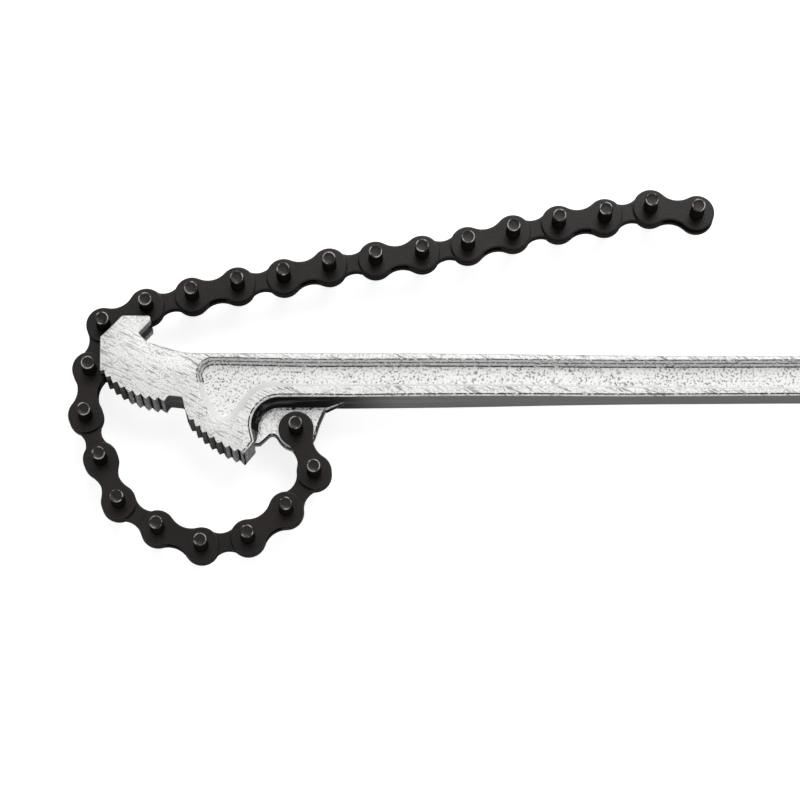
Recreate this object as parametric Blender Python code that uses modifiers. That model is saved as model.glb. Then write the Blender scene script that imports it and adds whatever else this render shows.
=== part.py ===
"""Chain pipe wrench, lying on its side.

The wrench is one forging, a handle with two toothed jaws, a hook, a grooved nose and a lug,
and a chain that starts at a pin through the lug. The chain's outer plates sit on long pins,
and its inner links turn on the same pins. It leaves the lug, loops round where a pipe would
lie, passes over the nose in its groove, and ends above the handle.

X runs along the handle towards its free end, Y from the jaws to the hook, and Z up. The parts
are drawn from the axis of the first pin, at the middle of the forging's thickness. One empty
carries them all, and puts the middle of the object's footprint at the world's origin, with the
lowest pin ends at Z = 0. Lengths are in metres and angles in degrees.
"""

import math

import bmesh
import bpy
from mathutils import Vector

# Forged handle
OVERALL_LENGTH = 0.457
HANDLE_AXIS = 0.0210
HANDLE_WIDTH = 0.0164
HEAD_THICKNESS = 0.0260
GRIP_THICKNESS = 0.0180
END_THICKNESS = 0.0160
TAPER_START = 0.0450
TAPER_END = 0.1500
HANG_HOLE_RADIUS = 0.0047
EDGE_ROUNDING = 0.0010

# Recess in each side of the handle
RECESS_DEPTH = 0.0053
RECESS_DRAFT = 15.0
RIM_WIDTH = 0.0026
RECESS_CORNER = 0.0040
BEND_RADIUS = 0.050
LOBE_LEFT = -0.0400
LOBE_TIP = (-0.0298, -0.0035)
LOBE_RADIUS = 0.0059
LOBE_SHOULDER = 0.0075
LOBE_SIDE_RADIUS = 0.0200
LOBE_HOLLOW = 0.0120
LOBE_LEAN = 38.0
HEAD_RIM_TOP = 0.0016
HEAD_RIM_BOTTOM = 0.0042

# Nose and hook
NOSE_FRONT = -0.0791
NOSE_TOP = 0.0450
NOSE_CHAMFER = 0.0088
HOOK_TIP = -0.0590
HOOK_DEPTH = 0.0048
HOOK_HALF_ANGLE = 46.0
HOOK_LAND = 0.0022
NOTCH_SHARE = 0.75
NOTCH_FLOOR_RADIUS = 0.0008
NOTCH_LIP_RADIUS = 0.0004
NECK_LENGTH = 0.0150
NECK_RADIUS = 0.0015
NECK_SWEEP = 0.030

# Toothed jaws: each edge is part of a circle
JAW_CORNER = 0.0224
UPPER_JAW_RADIUS = 0.0356
UPPER_JAW_START = -140.0
UPPER_JAW_SWEEP = 48.0
UPPER_JAW_TEETH = 8
LOWER_JAW_TIP = (-0.0428, 0.0022)
LOWER_JAW_RADIUS = 0.0432
LOWER_JAW_START = -140.6
LOWER_JAW_SWEEP = 35.0
LOWER_JAW_TEETH = 7
TOOTH_DEPTH = 0.0015
TOOTH_SKEW = 0.30
THROAT_DEPTH = 0.0024
THROAT_STEP = 0.0016
THROAT_DROP = 0.0006
THROAT_RADIUS = 0.0014
LOWER_TIP_BACK = (0.0030, 0.0018)
LOWER_TIP_RISE = 0.0040
JAW_END_FACE = 0.0068
JAW_END_ANGLE = 50.0
JAW_END_RADIUS = 0.0006

# Chain
CHAIN_PITCH = 0.01905
PIN_RADIUS = 0.00283
PIN_LENGTH = 0.0368
PIN_CHAMFER = 0.0006
PLATE_THICKNESS = 0.0020
PLATE_END_RADIUS = 0.00685
OUTER_WAIST = 0.0078
INNER_WAIST = 0.0068
BUSH_RADIUS = 0.0043
INNER_GAP = 0.0016
SIDE_GAP = 0.0003
PRESS_GAP = 0.00026
RUNNING_GAP = 0.00036

# Lug that holds the first pin
LUG_RADIUS = 0.0084
LUG_START = -142.0
LUG_END = -22.0
LUG_FLARE = 0.0018
FLARE_STEP = 0.0028
FLARE_REACH = 0.0062
FLARE_DROP = 0.0048
FLARE_RADIUS = 0.0100
ARCH_RADIUS = 0.0114
ARCH_CENTRE = -0.0065
ARCH_START = 187.0
NOTCH_RADIUS = 0.0026
NOTCH_WIDTH = 0.0008
NOTCH_TOP = -0.0012
HEEL_DROP = -0.0080
HEEL_WEB = 0.0024
WEB_OVERLAP = 0.0030

# Groove in the nose, where the chain's plates run
GROOVE_CLEARANCE = 0.0004
GROOVE_RADIUS = 0.0125

# Where the chain lies: headings of its links, seen from above
LOOP_HEADINGS = (-67, -126, -143.5, -170, -201.5, -214, -247, -251, -274.5)
TAIL_HEADINGS = (14, 13, 10.5, 13.5, 8.5, 7.5, 11, 15, 12, 8.5, 11.5, -7.5)
FRONT_GAP = 0.00185
FRONT_REST = 0.0022
CHAMFER_GAP = 0.0013
TOP_GAP = 0.0030

# Roundness
ARC_STEP = 15.0
PIN_SIDES = 12
PLATE_END_STEPS = 10
PLATE_WAIST_STEPS = 3
TAPER_STEPS = 8

HALF_WIDTH = HANDLE_WIDTH / 2
HANDLE_TOP = HANDLE_AXIS + HALF_WIDTH
HANDLE_BOTTOM = HANDLE_AXIS - HALF_WIDTH
FREE_END = NOSE_FRONT + OVERALL_LENGTH
INNER_THICKNESS = 2 * PLATE_THICKNESS + INNER_GAP
CHAIN_THICKNESS = INNER_THICKNESS + 2 * (SIDE_GAP + PLATE_THICKNESS)
FACET = math.cos(math.pi / PIN_SIDES)


def polar(centre, radius, degrees):
    """Point at this radius and angle from the centre."""
    angle = math.radians(degrees)
    return centre[0] + radius * math.cos(angle), centre[1] + radius * math.sin(angle)


def arc(centre, radius, start, end, steps=None):
    """Points along an arc, both ends included."""
    steps = steps or max(1, math.ceil(abs(end - start) / ARC_STEP))
    return [polar(centre, radius, start + (end - start) * i / steps) for i in range(steps + 1)]


def fillet(before, corner, after, radius):
    """Points of the arc that rounds a corner, limited by the sides next to it."""
    corner = Vector(corner)
    first, second = Vector(before) - corner, Vector(after) - corner
    half = first.angle(second) / 2
    reach = min(radius / math.tan(half), 0.49 * first.length, 0.49 * second.length)
    radius = reach * math.tan(half)
    centre = corner + (first.normalized() + second.normalized()).normalized() * radius / math.sin(half)
    start = corner + first.normalized() * reach - centre
    turn = start.angle_signed(corner + second.normalized() * reach - centre)
    steps = max(1, math.ceil(abs(math.degrees(turn)) / ARC_STEP))
    angle = math.degrees(math.atan2(start.y, start.x))
    return arc(tuple(centre), radius, angle, angle - math.degrees(turn), steps)


def rounded(corners):
    """Outline through corners given as (x, y, radius). A radius of 0 keeps the corner sharp."""
    points = []
    for i, (x, y, radius) in enumerate(corners):
        if radius:
            after = corners[(i + 1) % len(corners)]
            points += fillet(corners[i - 1][:2], (x, y), after[:2], radius)
        else:
            points.append((x, y))
    return points


def sharp(points):
    """The same points as corners without a radius."""
    return [(x, y, 0.0) for x, y in points]


def toothed_edge(centre, radius, start, sweep, teeth):
    """Tips and roots of a row of teeth along an arc. Each root lies close behind its tip."""
    pitch = sweep / teeth
    points = []
    for tooth in range(teeth):
        angle = start + tooth * pitch
        points.append(polar(centre, radius, angle))
        points.append(polar(centre, radius - TOOTH_DEPTH, angle + TOOTH_SKEW * pitch))
    return points + [polar(centre, radius, start + sweep)]


def offset(points, distance):
    """The closed outline moved inwards, for an outline that runs anticlockwise."""
    moved = []
    for i, point in enumerate(points):
        here, before = Vector(point), Vector(points[i - 1])
        after = Vector(points[(i + 1) % len(points)])
        first, second = (here - before).normalized(), (after - here).normalized()
        normal = Vector((-(first.y + second.y), first.x + second.x)).normalized()
        stretch = normal.dot(Vector((-first.y, first.x)))
        moved.append(tuple(here + normal * distance / stretch))
    return moved


def material(name, colour, metallic, roughness):
    """Plain Principled material."""
    made = bpy.data.materials.new(name)
    made.use_nodes = True
    shader = made.node_tree.nodes["Principled BSDF"]
    shader.inputs["Base Color"].default_value = (*colour, 1.0)
    shader.inputs["Metallic"].default_value = metallic
    shader.inputs["Roughness"].default_value = roughness
    return made


def clear_scene():
    """Remove everything that the file opened with."""
    for thing in list(bpy.data.objects):
        bpy.data.objects.remove(thing, do_unlink=True)


def collection(name, hidden=False):
    """New collection under the scene's own."""
    made = bpy.data.collections.new(name)
    made.hide_render = hidden
    bpy.context.scene.collection.children.link(made)
    return made


def empty(name, parent, location=(0, 0, 0), heading=0.0):
    """Empty that carries other objects, turned about Z."""
    made = bpy.data.objects.new(name, None)
    PARTS.objects.link(made)
    made.parent = parent
    made.location = location
    made.rotation_euler.z = math.radians(heading)
    return made


def add_object(name, mesh, group, parent):
    """Put a mesh in the scene. Helpers that only cut or join are drawn as wires."""
    made = bpy.data.objects.new(name, mesh)
    group.objects.link(made)
    made.parent = parent
    if group == CUTTERS:
        made.hide_render = True
        made.display_type = "WIRE"
    return made


def evaluated_mesh(source, weld=0.0):
    """Mesh of an object with its modifiers applied. The object itself is removed."""
    bpy.context.view_layer.update()
    graph = bpy.context.evaluated_depsgraph_get()
    mesh = bpy.data.meshes.new_from_object(source.evaluated_get(graph))
    if weld:
        shape = bmesh.new()
        shape.from_mesh(mesh)
        bmesh.ops.remove_doubles(shape, verts=shape.verts, dist=weld)
        bmesh.ops.recalc_face_normals(shape, faces=shape.faces)
        shape.to_mesh(mesh)
        shape.free()
    bpy.data.objects.remove(source, do_unlink=True)
    return mesh


def outline_mesh(outlines, low, high):
    """Flat solid between two heights. The first outline is its edge, the others are holes."""
    curve = bpy.data.curves.new("outline", "CURVE")
    curve.dimensions = "2D"
    curve.fill_mode = "BOTH"
    curve.extrude = (high - low) / 2
    for points in outlines:
        spline = curve.splines.new("POLY")
        spline.points.add(len(points) - 1)
        for point, (x, y) in zip(spline.points, points):
            point.co = (x, y, 0.0, 1.0)
        spline.use_cyclic_u = True
    source = bpy.data.objects.new("outline", curve)
    bpy.context.scene.collection.objects.link(source)
    mesh = evaluated_mesh(source, weld=1e-7)
    for vertex in mesh.vertices:
        vertex.co.z += (high + low) / 2
    return mesh


def cylinder_mesh(radius, low, high, centre=(0.0, 0.0)):
    """Upright cylinder with as many sides as the pins."""
    shape = bmesh.new()
    bmesh.ops.create_cone(
        shape, cap_ends=True, segments=PIN_SIDES, radius1=radius, radius2=radius, depth=high - low
    )
    bmesh.ops.translate(shape, verts=shape.verts, vec=(*centre, (high + low) / 2))
    mesh = bpy.data.meshes.new("cylinder")
    shape.to_mesh(mesh)
    shape.free()
    return mesh


def loft_mesh(low_outline, low, high_outline, high):
    """Solid between two outlines with equally many points, which run anticlockwise."""
    shape = bmesh.new()
    rings = []
    for outline, height in ((low_outline, low), (high_outline, high)):
        rings.append([shape.verts.new((x, y, height)) for x, y in outline])
    for i in range(len(low_outline)):
        j = (i + 1) % len(low_outline)
        shape.faces.new((rings[0][i], rings[0][j], rings[1][j], rings[1][i]))
    shape.faces.new(reversed(rings[0]))
    shape.faces.new(rings[1])
    bmesh.ops.recalc_face_normals(shape, faces=shape.faces)
    mesh = bpy.data.meshes.new("loft")
    shape.to_mesh(mesh)
    shape.free()
    return mesh


def boolean(target, operation, helper):
    """Cut, join or intersect one object with another."""
    made = target.modifiers.new(f"{operation.lower()} {helper.name}", "BOOLEAN")
    made.operation = operation
    made.solver = "EXACT"
    made.object = helper


def shade(mesh, degrees=32.0):
    """Smooth shading with sharp edges kept."""
    mesh.shade_smooth()
    mesh.set_sharp_from_angle(angle=math.radians(degrees))


def half_thickness(x):
    """Half the handle's thickness at a place along it: full at the head, eased down to the grip."""
    share = min(max((x - TAPER_START) / (TAPER_END - TAPER_START), 0.0), 1.0)
    eased = (1 - math.cos(math.pi * share)) / 2
    beyond = min(max((x - TAPER_END) / (FREE_END - TAPER_END), 0.0), 1.0)
    grip = GRIP_THICKNESS + (END_THICKNESS - GRIP_THICKNESS) * beyond
    return (HEAD_THICKNESS + (grip - HEAD_THICKNESS) * eased) / 2


def side_mesh(depth):
    """The handle's thickness seen from the side, less a depth on each face, wider than the plan."""
    stations = [NOSE_FRONT - HALF_WIDTH]
    stations += [
        TAPER_START + (TAPER_END - TAPER_START) * i / TAPER_STEPS for i in range(TAPER_STEPS + 1)
    ]
    stations.append(FREE_END + HALF_WIDTH)
    top = [(x, half_thickness(x) - depth) for x in stations]
    profile = top[::-1] + [(x, -z) for x, z in top]
    reach = 3 * NOSE_TOP
    mesh = outline_mesh([profile], -reach, reach)
    for vertex in mesh.vertices:
        x, y, z = vertex.co
        vertex.co = (x, -z, y)
    return mesh


def hook_corners():
    """Corners from the handle's upper edge over the neck and the notch to the hook's tip."""
    half = math.radians(HOOK_HALF_ANGLE)
    mouth = HOOK_DEPTH * math.tan(half)
    apex_y = NOSE_TOP - HOOK_LAND - mouth
    apex_x = HOOK_TIP - HOOK_DEPTH
    neck = apex_x + NOTCH_SHARE * HOOK_DEPTH, apex_y - NOTCH_SHARE * mouth
    return [
        (neck[0] + NECK_LENGTH, HANDLE_TOP, NECK_SWEEP),
        (*neck, NECK_RADIUS),
        (apex_x, apex_y, NOTCH_FLOOR_RADIUS),
        (HOOK_TIP, apex_y + mouth, NOTCH_LIP_RADIUS),
        (HOOK_TIP, NOSE_TOP, EDGE_ROUNDING),
    ]


def upper_jaw_centre():
    """Centre of the upper jaw's edge, which starts at the nose's lower corner."""
    away = UPPER_JAW_START + 180.0
    return polar((NOSE_FRONT, JAW_CORNER), UPPER_JAW_RADIUS, away)


def lower_jaw_centre():
    """Centre of the lower jaw's edge, which starts at its first tooth."""
    return polar(LOWER_JAW_TIP, LOWER_JAW_RADIUS, LOWER_JAW_START + 180.0)


def arch_centre():
    """Centre of the arch between the lower jaw and the handle's lower edge."""
    return ARCH_CENTRE, HANDLE_BOTTOM - ARCH_RADIUS


def plan_outline():
    """The forging's outline seen from above, anticlockwise from its free end."""
    end_centre = (FREE_END - HALF_WIDTH, HANDLE_AXIS)
    upper_end = UPPER_JAW_START + UPPER_JAW_SWEEP
    lower_end = LOWER_JAW_START + LOWER_JAW_SWEEP
    upper_jaw = toothed_edge(
        upper_jaw_centre(), UPPER_JAW_RADIUS, UPPER_JAW_START, UPPER_JAW_SWEEP, UPPER_JAW_TEETH
    )
    lower_jaw = toothed_edge(
        lower_jaw_centre(), LOWER_JAW_RADIUS, LOWER_JAW_START, LOWER_JAW_SWEEP, LOWER_JAW_TEETH
    )
    throat_left = polar(upper_jaw_centre(), UPPER_JAW_RADIUS, upper_end)
    throat_top = throat_left[1] + THROAT_DEPTH
    jaw_end = polar(lower_jaw_centre(), LOWER_JAW_RADIUS, lower_end)
    heel = polar(jaw_end, JAW_END_FACE, JAW_END_ANGLE)
    corners = sharp(arc(end_centre, HALF_WIDTH, -90, 90))
    corners += hook_corners()
    corners += [
        (NOSE_FRONT + NOSE_CHAMFER, NOSE_TOP, EDGE_ROUNDING),
        (NOSE_FRONT, NOSE_TOP - NOSE_CHAMFER, EDGE_ROUNDING),
    ]
    corners += sharp(upper_jaw)
    corners += [
        (throat_left[0] + THROAT_STEP, throat_top, THROAT_RADIUS),
        (LOWER_JAW_TIP[0] - LOWER_TIP_BACK[0], throat_top - THROAT_DROP, THROAT_RADIUS),
        (LOWER_JAW_TIP[0] - LOWER_TIP_BACK[1], LOWER_JAW_TIP[1] + LOWER_TIP_RISE, THROAT_RADIUS),
    ]
    corners += sharp(lower_jaw)
    corners += [(*heel, JAW_END_RADIUS)]
    corners += sharp(arc(arch_centre(), ARCH_RADIUS, ARCH_START, 90))
    return rounded(corners)


def recess_outline():
    """Edge of the recess at the height of the head's face, anticlockwise from its free end."""
    spread = (HEAD_THICKNESS - GRIP_THICKNESS) / 2 * math.tan(math.radians(RECESS_DRAFT))
    right = FREE_END - 2 * HANDLE_WIDTH
    bend = arch_centre()[0] + ARCH_RADIUS
    grip_top = HANDLE_TOP - RIM_WIDTH + spread
    grip_bottom = HANDLE_BOTTOM + RIM_WIDTH - spread
    head_top = HANDLE_TOP - HEAD_RIM_TOP
    head_bottom = HANDLE_BOTTOM + HEAD_RIM_BOTTOM
    lean = math.tan(math.radians(LOBE_LEAN))
    lobe_top = LOBE_TIP[0] + (head_bottom - LOBE_TIP[1]) * lean
    return rounded(
        [
            (right, grip_bottom, RECESS_CORNER),
            (right, grip_top, RECESS_CORNER),
            (bend, HANDLE_TOP - RIM_WIDTH, BEND_RADIUS),
            (LOBE_LEFT - EDGE_ROUNDING, head_top, LOBE_SHOULDER),
            (LOBE_LEFT + HEAD_RIM_TOP, (head_top + LOBE_TIP[1]) / 2, LOBE_SIDE_RADIUS),
            (*LOBE_TIP, LOBE_RADIUS),
            (lobe_top, head_bottom, LOBE_HOLLOW),
        ]
    )


def lug_outline():
    """The thin web in the arch, with the round ear that holds the first pin, anticlockwise."""
    ear = arc((0.0, 0.0), LUG_RADIUS, LUG_START, LUG_END)
    flare = LUG_RADIUS + LUG_FLARE
    heel_x = arch_centre()[0] - ARCH_RADIUS
    inside = HANDLE_BOTTOM + WEB_OVERLAP
    notch_x = -LUG_RADIUS - NOTCH_WIDTH
    return rounded(
        sharp(ear)
        + [
            (flare, LUG_FLARE, FLARE_RADIUS),
            (flare + FLARE_STEP, HANDLE_BOTTOM - FLARE_DROP, FLARE_RADIUS / 2),
            (flare + FLARE_REACH, HANDLE_BOTTOM, RECESS_CORNER),
            (flare + FLARE_REACH, inside, 0.0),
            (heel_x - WEB_OVERLAP, inside, 0.0),
            (heel_x - WEB_OVERLAP, HEEL_DROP, 0.0),
            (heel_x + HEEL_WEB, HEEL_DROP, NOTCH_FLOOR_RADIUS),
            (notch_x, NOTCH_TOP, NOTCH_RADIUS),
        ]
    )


def groove_outline():
    """Region of the nose that the groove takes away: a milled run-out, then a floor to the neck."""
    notch_apex = hook_corners()[2]
    floor = notch_apex[1] - PLATE_END_RADIUS - GROOVE_CLEARANCE
    start = JAW_CORNER + FRONT_REST - PLATE_END_RADIUS - 2 * GROOVE_CLEARANCE
    centre = (NOSE_FRONT - GROOVE_CLEARANCE, start + GROOVE_RADIUS)
    end = math.degrees(math.asin((floor - centre[1]) / GROOVE_RADIUS))
    out = NOSE_FRONT - HALF_WIDTH
    run_out = arc(centre, GROOVE_RADIUS, -90, end)
    return [(out, run_out[0][1])] + run_out + [
        (HOOK_TIP + NECK_LENGTH, floor),
        (HOOK_TIP + NECK_LENGTH, NOSE_TOP + HALF_WIDTH),
        (out, NOSE_TOP + HALF_WIDTH),
    ]


def make_handle(parent, steel):
    """The whole forging: plan and side view intersected, web joined, recesses and holes cut."""
    handle = add_object(
        "handle_body",
        outline_mesh([plan_outline()], -HEAD_THICKNESS, HEAD_THICKNESS),
        PARTS,
        parent,
    )
    side = add_object("handle_side_view", side_mesh(0.0), CUTTERS, parent)
    boolean(handle, "INTERSECT", side)
    lug = add_object(
        "lug_web",
        outline_mesh([lug_outline()], -INNER_THICKNESS / 2, INNER_THICKNESS / 2),
        CUTTERS,
        parent,
    )
    boolean(handle, "UNION", lug)
    web = add_object("recess_floor", side_mesh(RECESS_DEPTH), CUTTERS, parent)
    top = HEAD_THICKNESS / 2
    draft = math.tan(math.radians(RECESS_DRAFT))
    edge = recess_outline()
    wide, narrow = offset(edge, -top * draft), offset(edge, top * draft)
    for name, sign in (("recess_upper", 1), ("recess_lower", -1)):
        recess = add_object(name, loft_mesh(narrow, 0.0, wide, sign * 2 * top), CUTTERS, parent)
        boolean(recess, "DIFFERENCE", web)
        boolean(handle, "DIFFERENCE", recess)
    groove_half = CHAIN_THICKNESS / 2 + GROOVE_CLEARANCE
    groove = add_object(
        "nose_groove", outline_mesh([groove_outline()], -groove_half, groove_half), CUTTERS, parent
    )
    boolean(handle, "DIFFERENCE", groove)
    bore_radius = (PIN_RADIUS + RUNNING_GAP) / FACET
    bore = add_object(
        "pin_bore", cylinder_mesh(bore_radius, -INNER_THICKNESS, INNER_THICKNESS), CUTTERS, parent
    )
    boolean(handle, "DIFFERENCE", bore)
    hole_centre = (FREE_END - HALF_WIDTH, HANDLE_AXIS)
    hole = cylinder_mesh(HANG_HOLE_RADIUS, -HEAD_THICKNESS, HEAD_THICKNESS, hole_centre)
    hang_hole = add_object("hang_hole", hole, CUTTERS, parent)
    boolean(handle, "DIFFERENCE", hang_hole)
    handle.data.materials.append(steel)
    shade(handle.data)


def pin_mesh():
    """Long pin, turned from its profile, with chamfered ends."""
    end = PIN_LENGTH / 2
    profile = [
        (0.0, end),
        (PIN_RADIUS - PIN_CHAMFER, end),
        (PIN_RADIUS, end - PIN_CHAMFER),
        (PIN_RADIUS, PIN_CHAMFER - end),
        (PIN_RADIUS - PIN_CHAMFER, -end),
        (0.0, -end),
    ]
    mesh = bpy.data.meshes.new("pin_profile")
    edges = [(i, i + 1) for i in range(len(profile) - 1)]
    mesh.from_pydata([(x, 0.0, z) for x, z in profile], edges, [])
    source = bpy.data.objects.new("pin_profile", mesh)
    bpy.context.scene.collection.objects.link(source)
    screw = source.modifiers.new("turned", "SCREW")
    screw.axis = "Z"
    screw.steps = PIN_SIDES
    screw.render_steps = PIN_SIDES
    screw.use_merge_vertices = True
    screw.merge_threshold = 0.00001
    return evaluated_mesh(source, weld=1e-6)


def plate_outline(waist):
    """Two round ends joined by hollow waists: the waist arcs touch both end circles."""
    half_pitch, half_waist = CHAIN_PITCH / 2, waist / 2
    ends = PLATE_END_RADIUS
    hollow = (half_pitch**2 + half_waist**2 - ends**2) / (2 * (ends - half_waist))
    touch = math.degrees(math.atan2(half_waist + hollow, half_pitch))
    upper = (half_pitch, half_waist + hollow)
    lower = (half_pitch, -half_waist - hollow)
    points = arc((0.0, 0.0), ends, touch, 360 - touch, PLATE_END_STEPS)
    points += arc(lower, hollow, 180 - touch, touch, PLATE_WAIST_STEPS)[1:-1]
    points += arc((CHAIN_PITCH, 0.0), ends, touch - 180, 180 - touch, PLATE_END_STEPS)
    points += arc(upper, hollow, -touch, touch - 180, PLATE_WAIST_STEPS)[1:-1]
    return points


def pin_circle(radius, x):
    """Hole of a pin at this place along a plate."""
    return arc((x, 0.0), radius, 0, 360, PIN_SIDES)[:-1]


def outer_plate_mesh():
    """Outer plate, pressed onto its two pins."""
    radius = PIN_RADIUS + PRESS_GAP
    holes = [pin_circle(radius, 0.0), pin_circle(radius, CHAIN_PITCH)]
    half = PLATE_THICKNESS / 2
    return outline_mesh([plate_outline(OUTER_WAIST), *holes], -half, half)


def inner_link_mesh(parent):
    """Two plates joined by two bushes, with a running fit on the pins."""
    half_gap, half = INNER_GAP / 2, INNER_THICKNESS / 2
    outline = [plate_outline(INNER_WAIST)]
    link = add_object("inner_link_source", outline_mesh(outline, half_gap, half), PARTS, parent)
    helpers = [add_object("lower_plate", outline_mesh(outline, -half, -half_gap), CUTTERS, parent)]
    middle = (half_gap + half) / 2
    for x in (0.0, CHAIN_PITCH):
        mesh = cylinder_mesh(BUSH_RADIUS, -middle, middle, (x, 0.0))
        helpers.append(add_object("bush", mesh, CUTTERS, parent))
    for helper in helpers[1:] + helpers[:1]:
        boolean(link, "UNION", helper)
    radius = (PIN_RADIUS + RUNNING_GAP) / FACET
    for x in (0.0, CHAIN_PITCH):
        mesh = cylinder_mesh(radius, -INNER_THICKNESS, INNER_THICKNESS, (x, 0.0))
        helpers.append(add_object("bore", mesh, CUTTERS, parent))
        boolean(link, "DIFFERENCE", helpers[-1])
    mesh = evaluated_mesh(link)
    for helper in helpers:
        bpy.data.objects.remove(helper, do_unlink=True)
    return mesh


def walk(start, headings):
    """Pins reached from a start, one pitch along each heading."""
    pins = [start]
    for heading in headings:
        pins.append(polar(pins[-1], CHAIN_PITCH, heading))
    return pins


def bent_loop(target):
    """The loop's headings, each turned a little, evenly and in proportion, so that it ends at a pin."""
    middle = (len(LOOP_HEADINGS) - 1) / 2

    def headings(even, rising):
        return [h + even + rising * (i - middle) for i, h in enumerate(LOOP_HEADINGS)]

    def miss(turns):
        end = walk((0.0, 0.0), headings(*turns))[-1]
        return Vector((end[0] - target[0], end[1] - target[1]))

    turns = Vector((0.0, 0.0))
    small = 0.01
    for _ in range(30):
        now = miss(turns)
        by_even = (miss(turns + Vector((small, 0.0))) - now) / small
        by_rising = (miss(turns + Vector((0.0, small))) - now) / small
        cross = by_even.x * by_rising.y - by_even.y * by_rising.x
        step = Vector(
            (
                (now.y * by_rising.x - now.x * by_rising.y) / cross,
                (now.x * by_even.y - now.y * by_even.x) / cross,
            )
        )
        turns += step * min(1.0, 5.0 / max(step.length, 1e-9))
    return headings(*turns)


def heading_onto(start, point, normal, distance):
    """Heading of a link whose far pin keeps a distance from a line, on the side towards the handle."""
    normal = Vector(normal).normalized()
    away = distance - (Vector(start) - Vector(point)).dot(normal)
    angle = math.degrees(math.asin(max(-1.0, min(1.0, away / CHAIN_PITCH))))
    along = math.degrees(math.atan2(normal.y, normal.x)) - 90.0
    return along + angle


def chain_headings():
    """Heading of every link: the loop, the nose's front, chamfer and top, then the tail."""
    front = (NOSE_FRONT - PIN_RADIUS - FRONT_GAP, JAW_CORNER + FRONT_REST)
    headings = bent_loop(front)
    chamfer_normal = (-1.0, 1.0)
    chamfer_point = (NOSE_FRONT, NOSE_TOP - NOSE_CHAMFER)
    headings.append(heading_onto(front, chamfer_point, chamfer_normal, PIN_RADIUS + CHAMFER_GAP))
    corner = walk(front, headings[-1:])[-1]
    headings.append(heading_onto(corner, (0.0, NOSE_TOP), (0.0, 1.0), PIN_RADIUS + TOP_GAP))
    return headings + list(TAIL_HEADINGS)


def make_chain(parent, dark_steel):
    """Every link on an empty at its first pin, each turned from the link before it."""
    pin, plate, inner = pin_mesh(), outer_plate_mesh(), inner_link_mesh(parent)
    for mesh in (pin, plate, inner):
        mesh.materials.append(dark_steel)
        shade(mesh)
    plate_height = INNER_THICKNESS / 2 + SIDE_GAP + PLATE_THICKNESS / 2
    carrier, before, place = parent, 0.0, 0.0
    for i, heading in enumerate(chain_headings(), start=1):
        carrier = empty(f"link_{i:02d}_axis", carrier, (place, 0.0, 0.0), heading - before)
        before, place = heading, CHAIN_PITCH
        if i % 2 == 0:
            add_object(f"inner_link_{i:02d}", inner, PARTS, carrier)
            continue
        for number, x in ((i, 0.0), (i + 1, CHAIN_PITCH)):
            add_object(f"chain_pin_{number:02d}", pin, PARTS, carrier).location.x = x
        for side, sign in (("upper", 1), ("lower", -1)):
            name = f"outer_plate_{i:02d}_{side}"
            add_object(name, plate, PARTS, carrier).location.z = sign * plate_height


def centre_on_footprint(carrier):
    """Move everything so that the object's box stands on the world's origin."""
    bpy.context.view_layer.update()
    graph = bpy.context.evaluated_depsgraph_get()
    corners = []
    for part in PARTS.objects:
        if part.type != "MESH":
            continue
        seen = part.evaluated_get(graph)
        mesh = seen.to_mesh()
        corners += [seen.matrix_world @ vertex.co for vertex in mesh.vertices]
        seen.to_mesh_clear()
    low = [min(corner[i] for corner in corners) for i in range(3)]
    high = [max(corner[i] for corner in corners) for i in range(3)]
    carrier.location = (-(low[0] + high[0]) / 2, -(low[1] + high[1]) / 2, -low[2])


clear_scene()
PARTS = collection("chain_pipe_wrench")
CUTTERS = collection("cutters", hidden=True)
wrench = empty("wrench_origin", None)
make_handle(wrench, material("satin_steel", (0.62, 0.62, 0.63), 1.0, 0.38))
make_chain(wrench, material("black_oxide_steel", (0.045, 0.038, 0.034), 0.9, 0.42))
centre_on_footprint(wrench)
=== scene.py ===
"""Looks of the chain pipe wrench: forged handle, plate chain, camera, lamps and floor."""

import logging
import math
from collections.abc import Sequence
from dataclasses import dataclass, field
from enum import Enum
from functools import cached_property

import bmesh
import bpy
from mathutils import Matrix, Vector
from mathutils.geometry import delaunay_2d_cdt

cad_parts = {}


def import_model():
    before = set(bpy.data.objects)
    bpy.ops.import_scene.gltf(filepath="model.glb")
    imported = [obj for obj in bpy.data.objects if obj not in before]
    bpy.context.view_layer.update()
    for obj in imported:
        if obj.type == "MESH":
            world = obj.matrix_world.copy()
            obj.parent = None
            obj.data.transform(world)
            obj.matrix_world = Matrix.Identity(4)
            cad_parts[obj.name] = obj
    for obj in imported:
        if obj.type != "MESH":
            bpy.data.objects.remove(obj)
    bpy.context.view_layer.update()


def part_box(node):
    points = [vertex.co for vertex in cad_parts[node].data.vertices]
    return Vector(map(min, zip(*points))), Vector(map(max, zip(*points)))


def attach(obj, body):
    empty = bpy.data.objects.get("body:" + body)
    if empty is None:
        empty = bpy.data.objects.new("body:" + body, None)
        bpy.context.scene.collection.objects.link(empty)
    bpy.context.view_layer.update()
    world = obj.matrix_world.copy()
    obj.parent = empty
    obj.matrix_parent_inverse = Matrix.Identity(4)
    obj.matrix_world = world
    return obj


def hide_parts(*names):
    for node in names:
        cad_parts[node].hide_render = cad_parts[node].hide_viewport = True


LOG = logging.getLogger("chain_pipe_wrench")
PIN_COUNT = 24
FILLET_STEP = 6.0
FILLET_SHARE = 0.49
LONGEST_SIDE = 0.0030
LEAST_STRETCH = 0.5
SHARP_FROM = 34.0
WELD_DISTANCE = 1e-7
FLAT_TOLERANCE = 1e-9
Point = tuple[float, float]
Place = tuple[float, float, float]
Colour = tuple[float, float, float]
Ring = list[bmesh.types.BMVert]
Socket = bpy.types.NodeSocket


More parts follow.
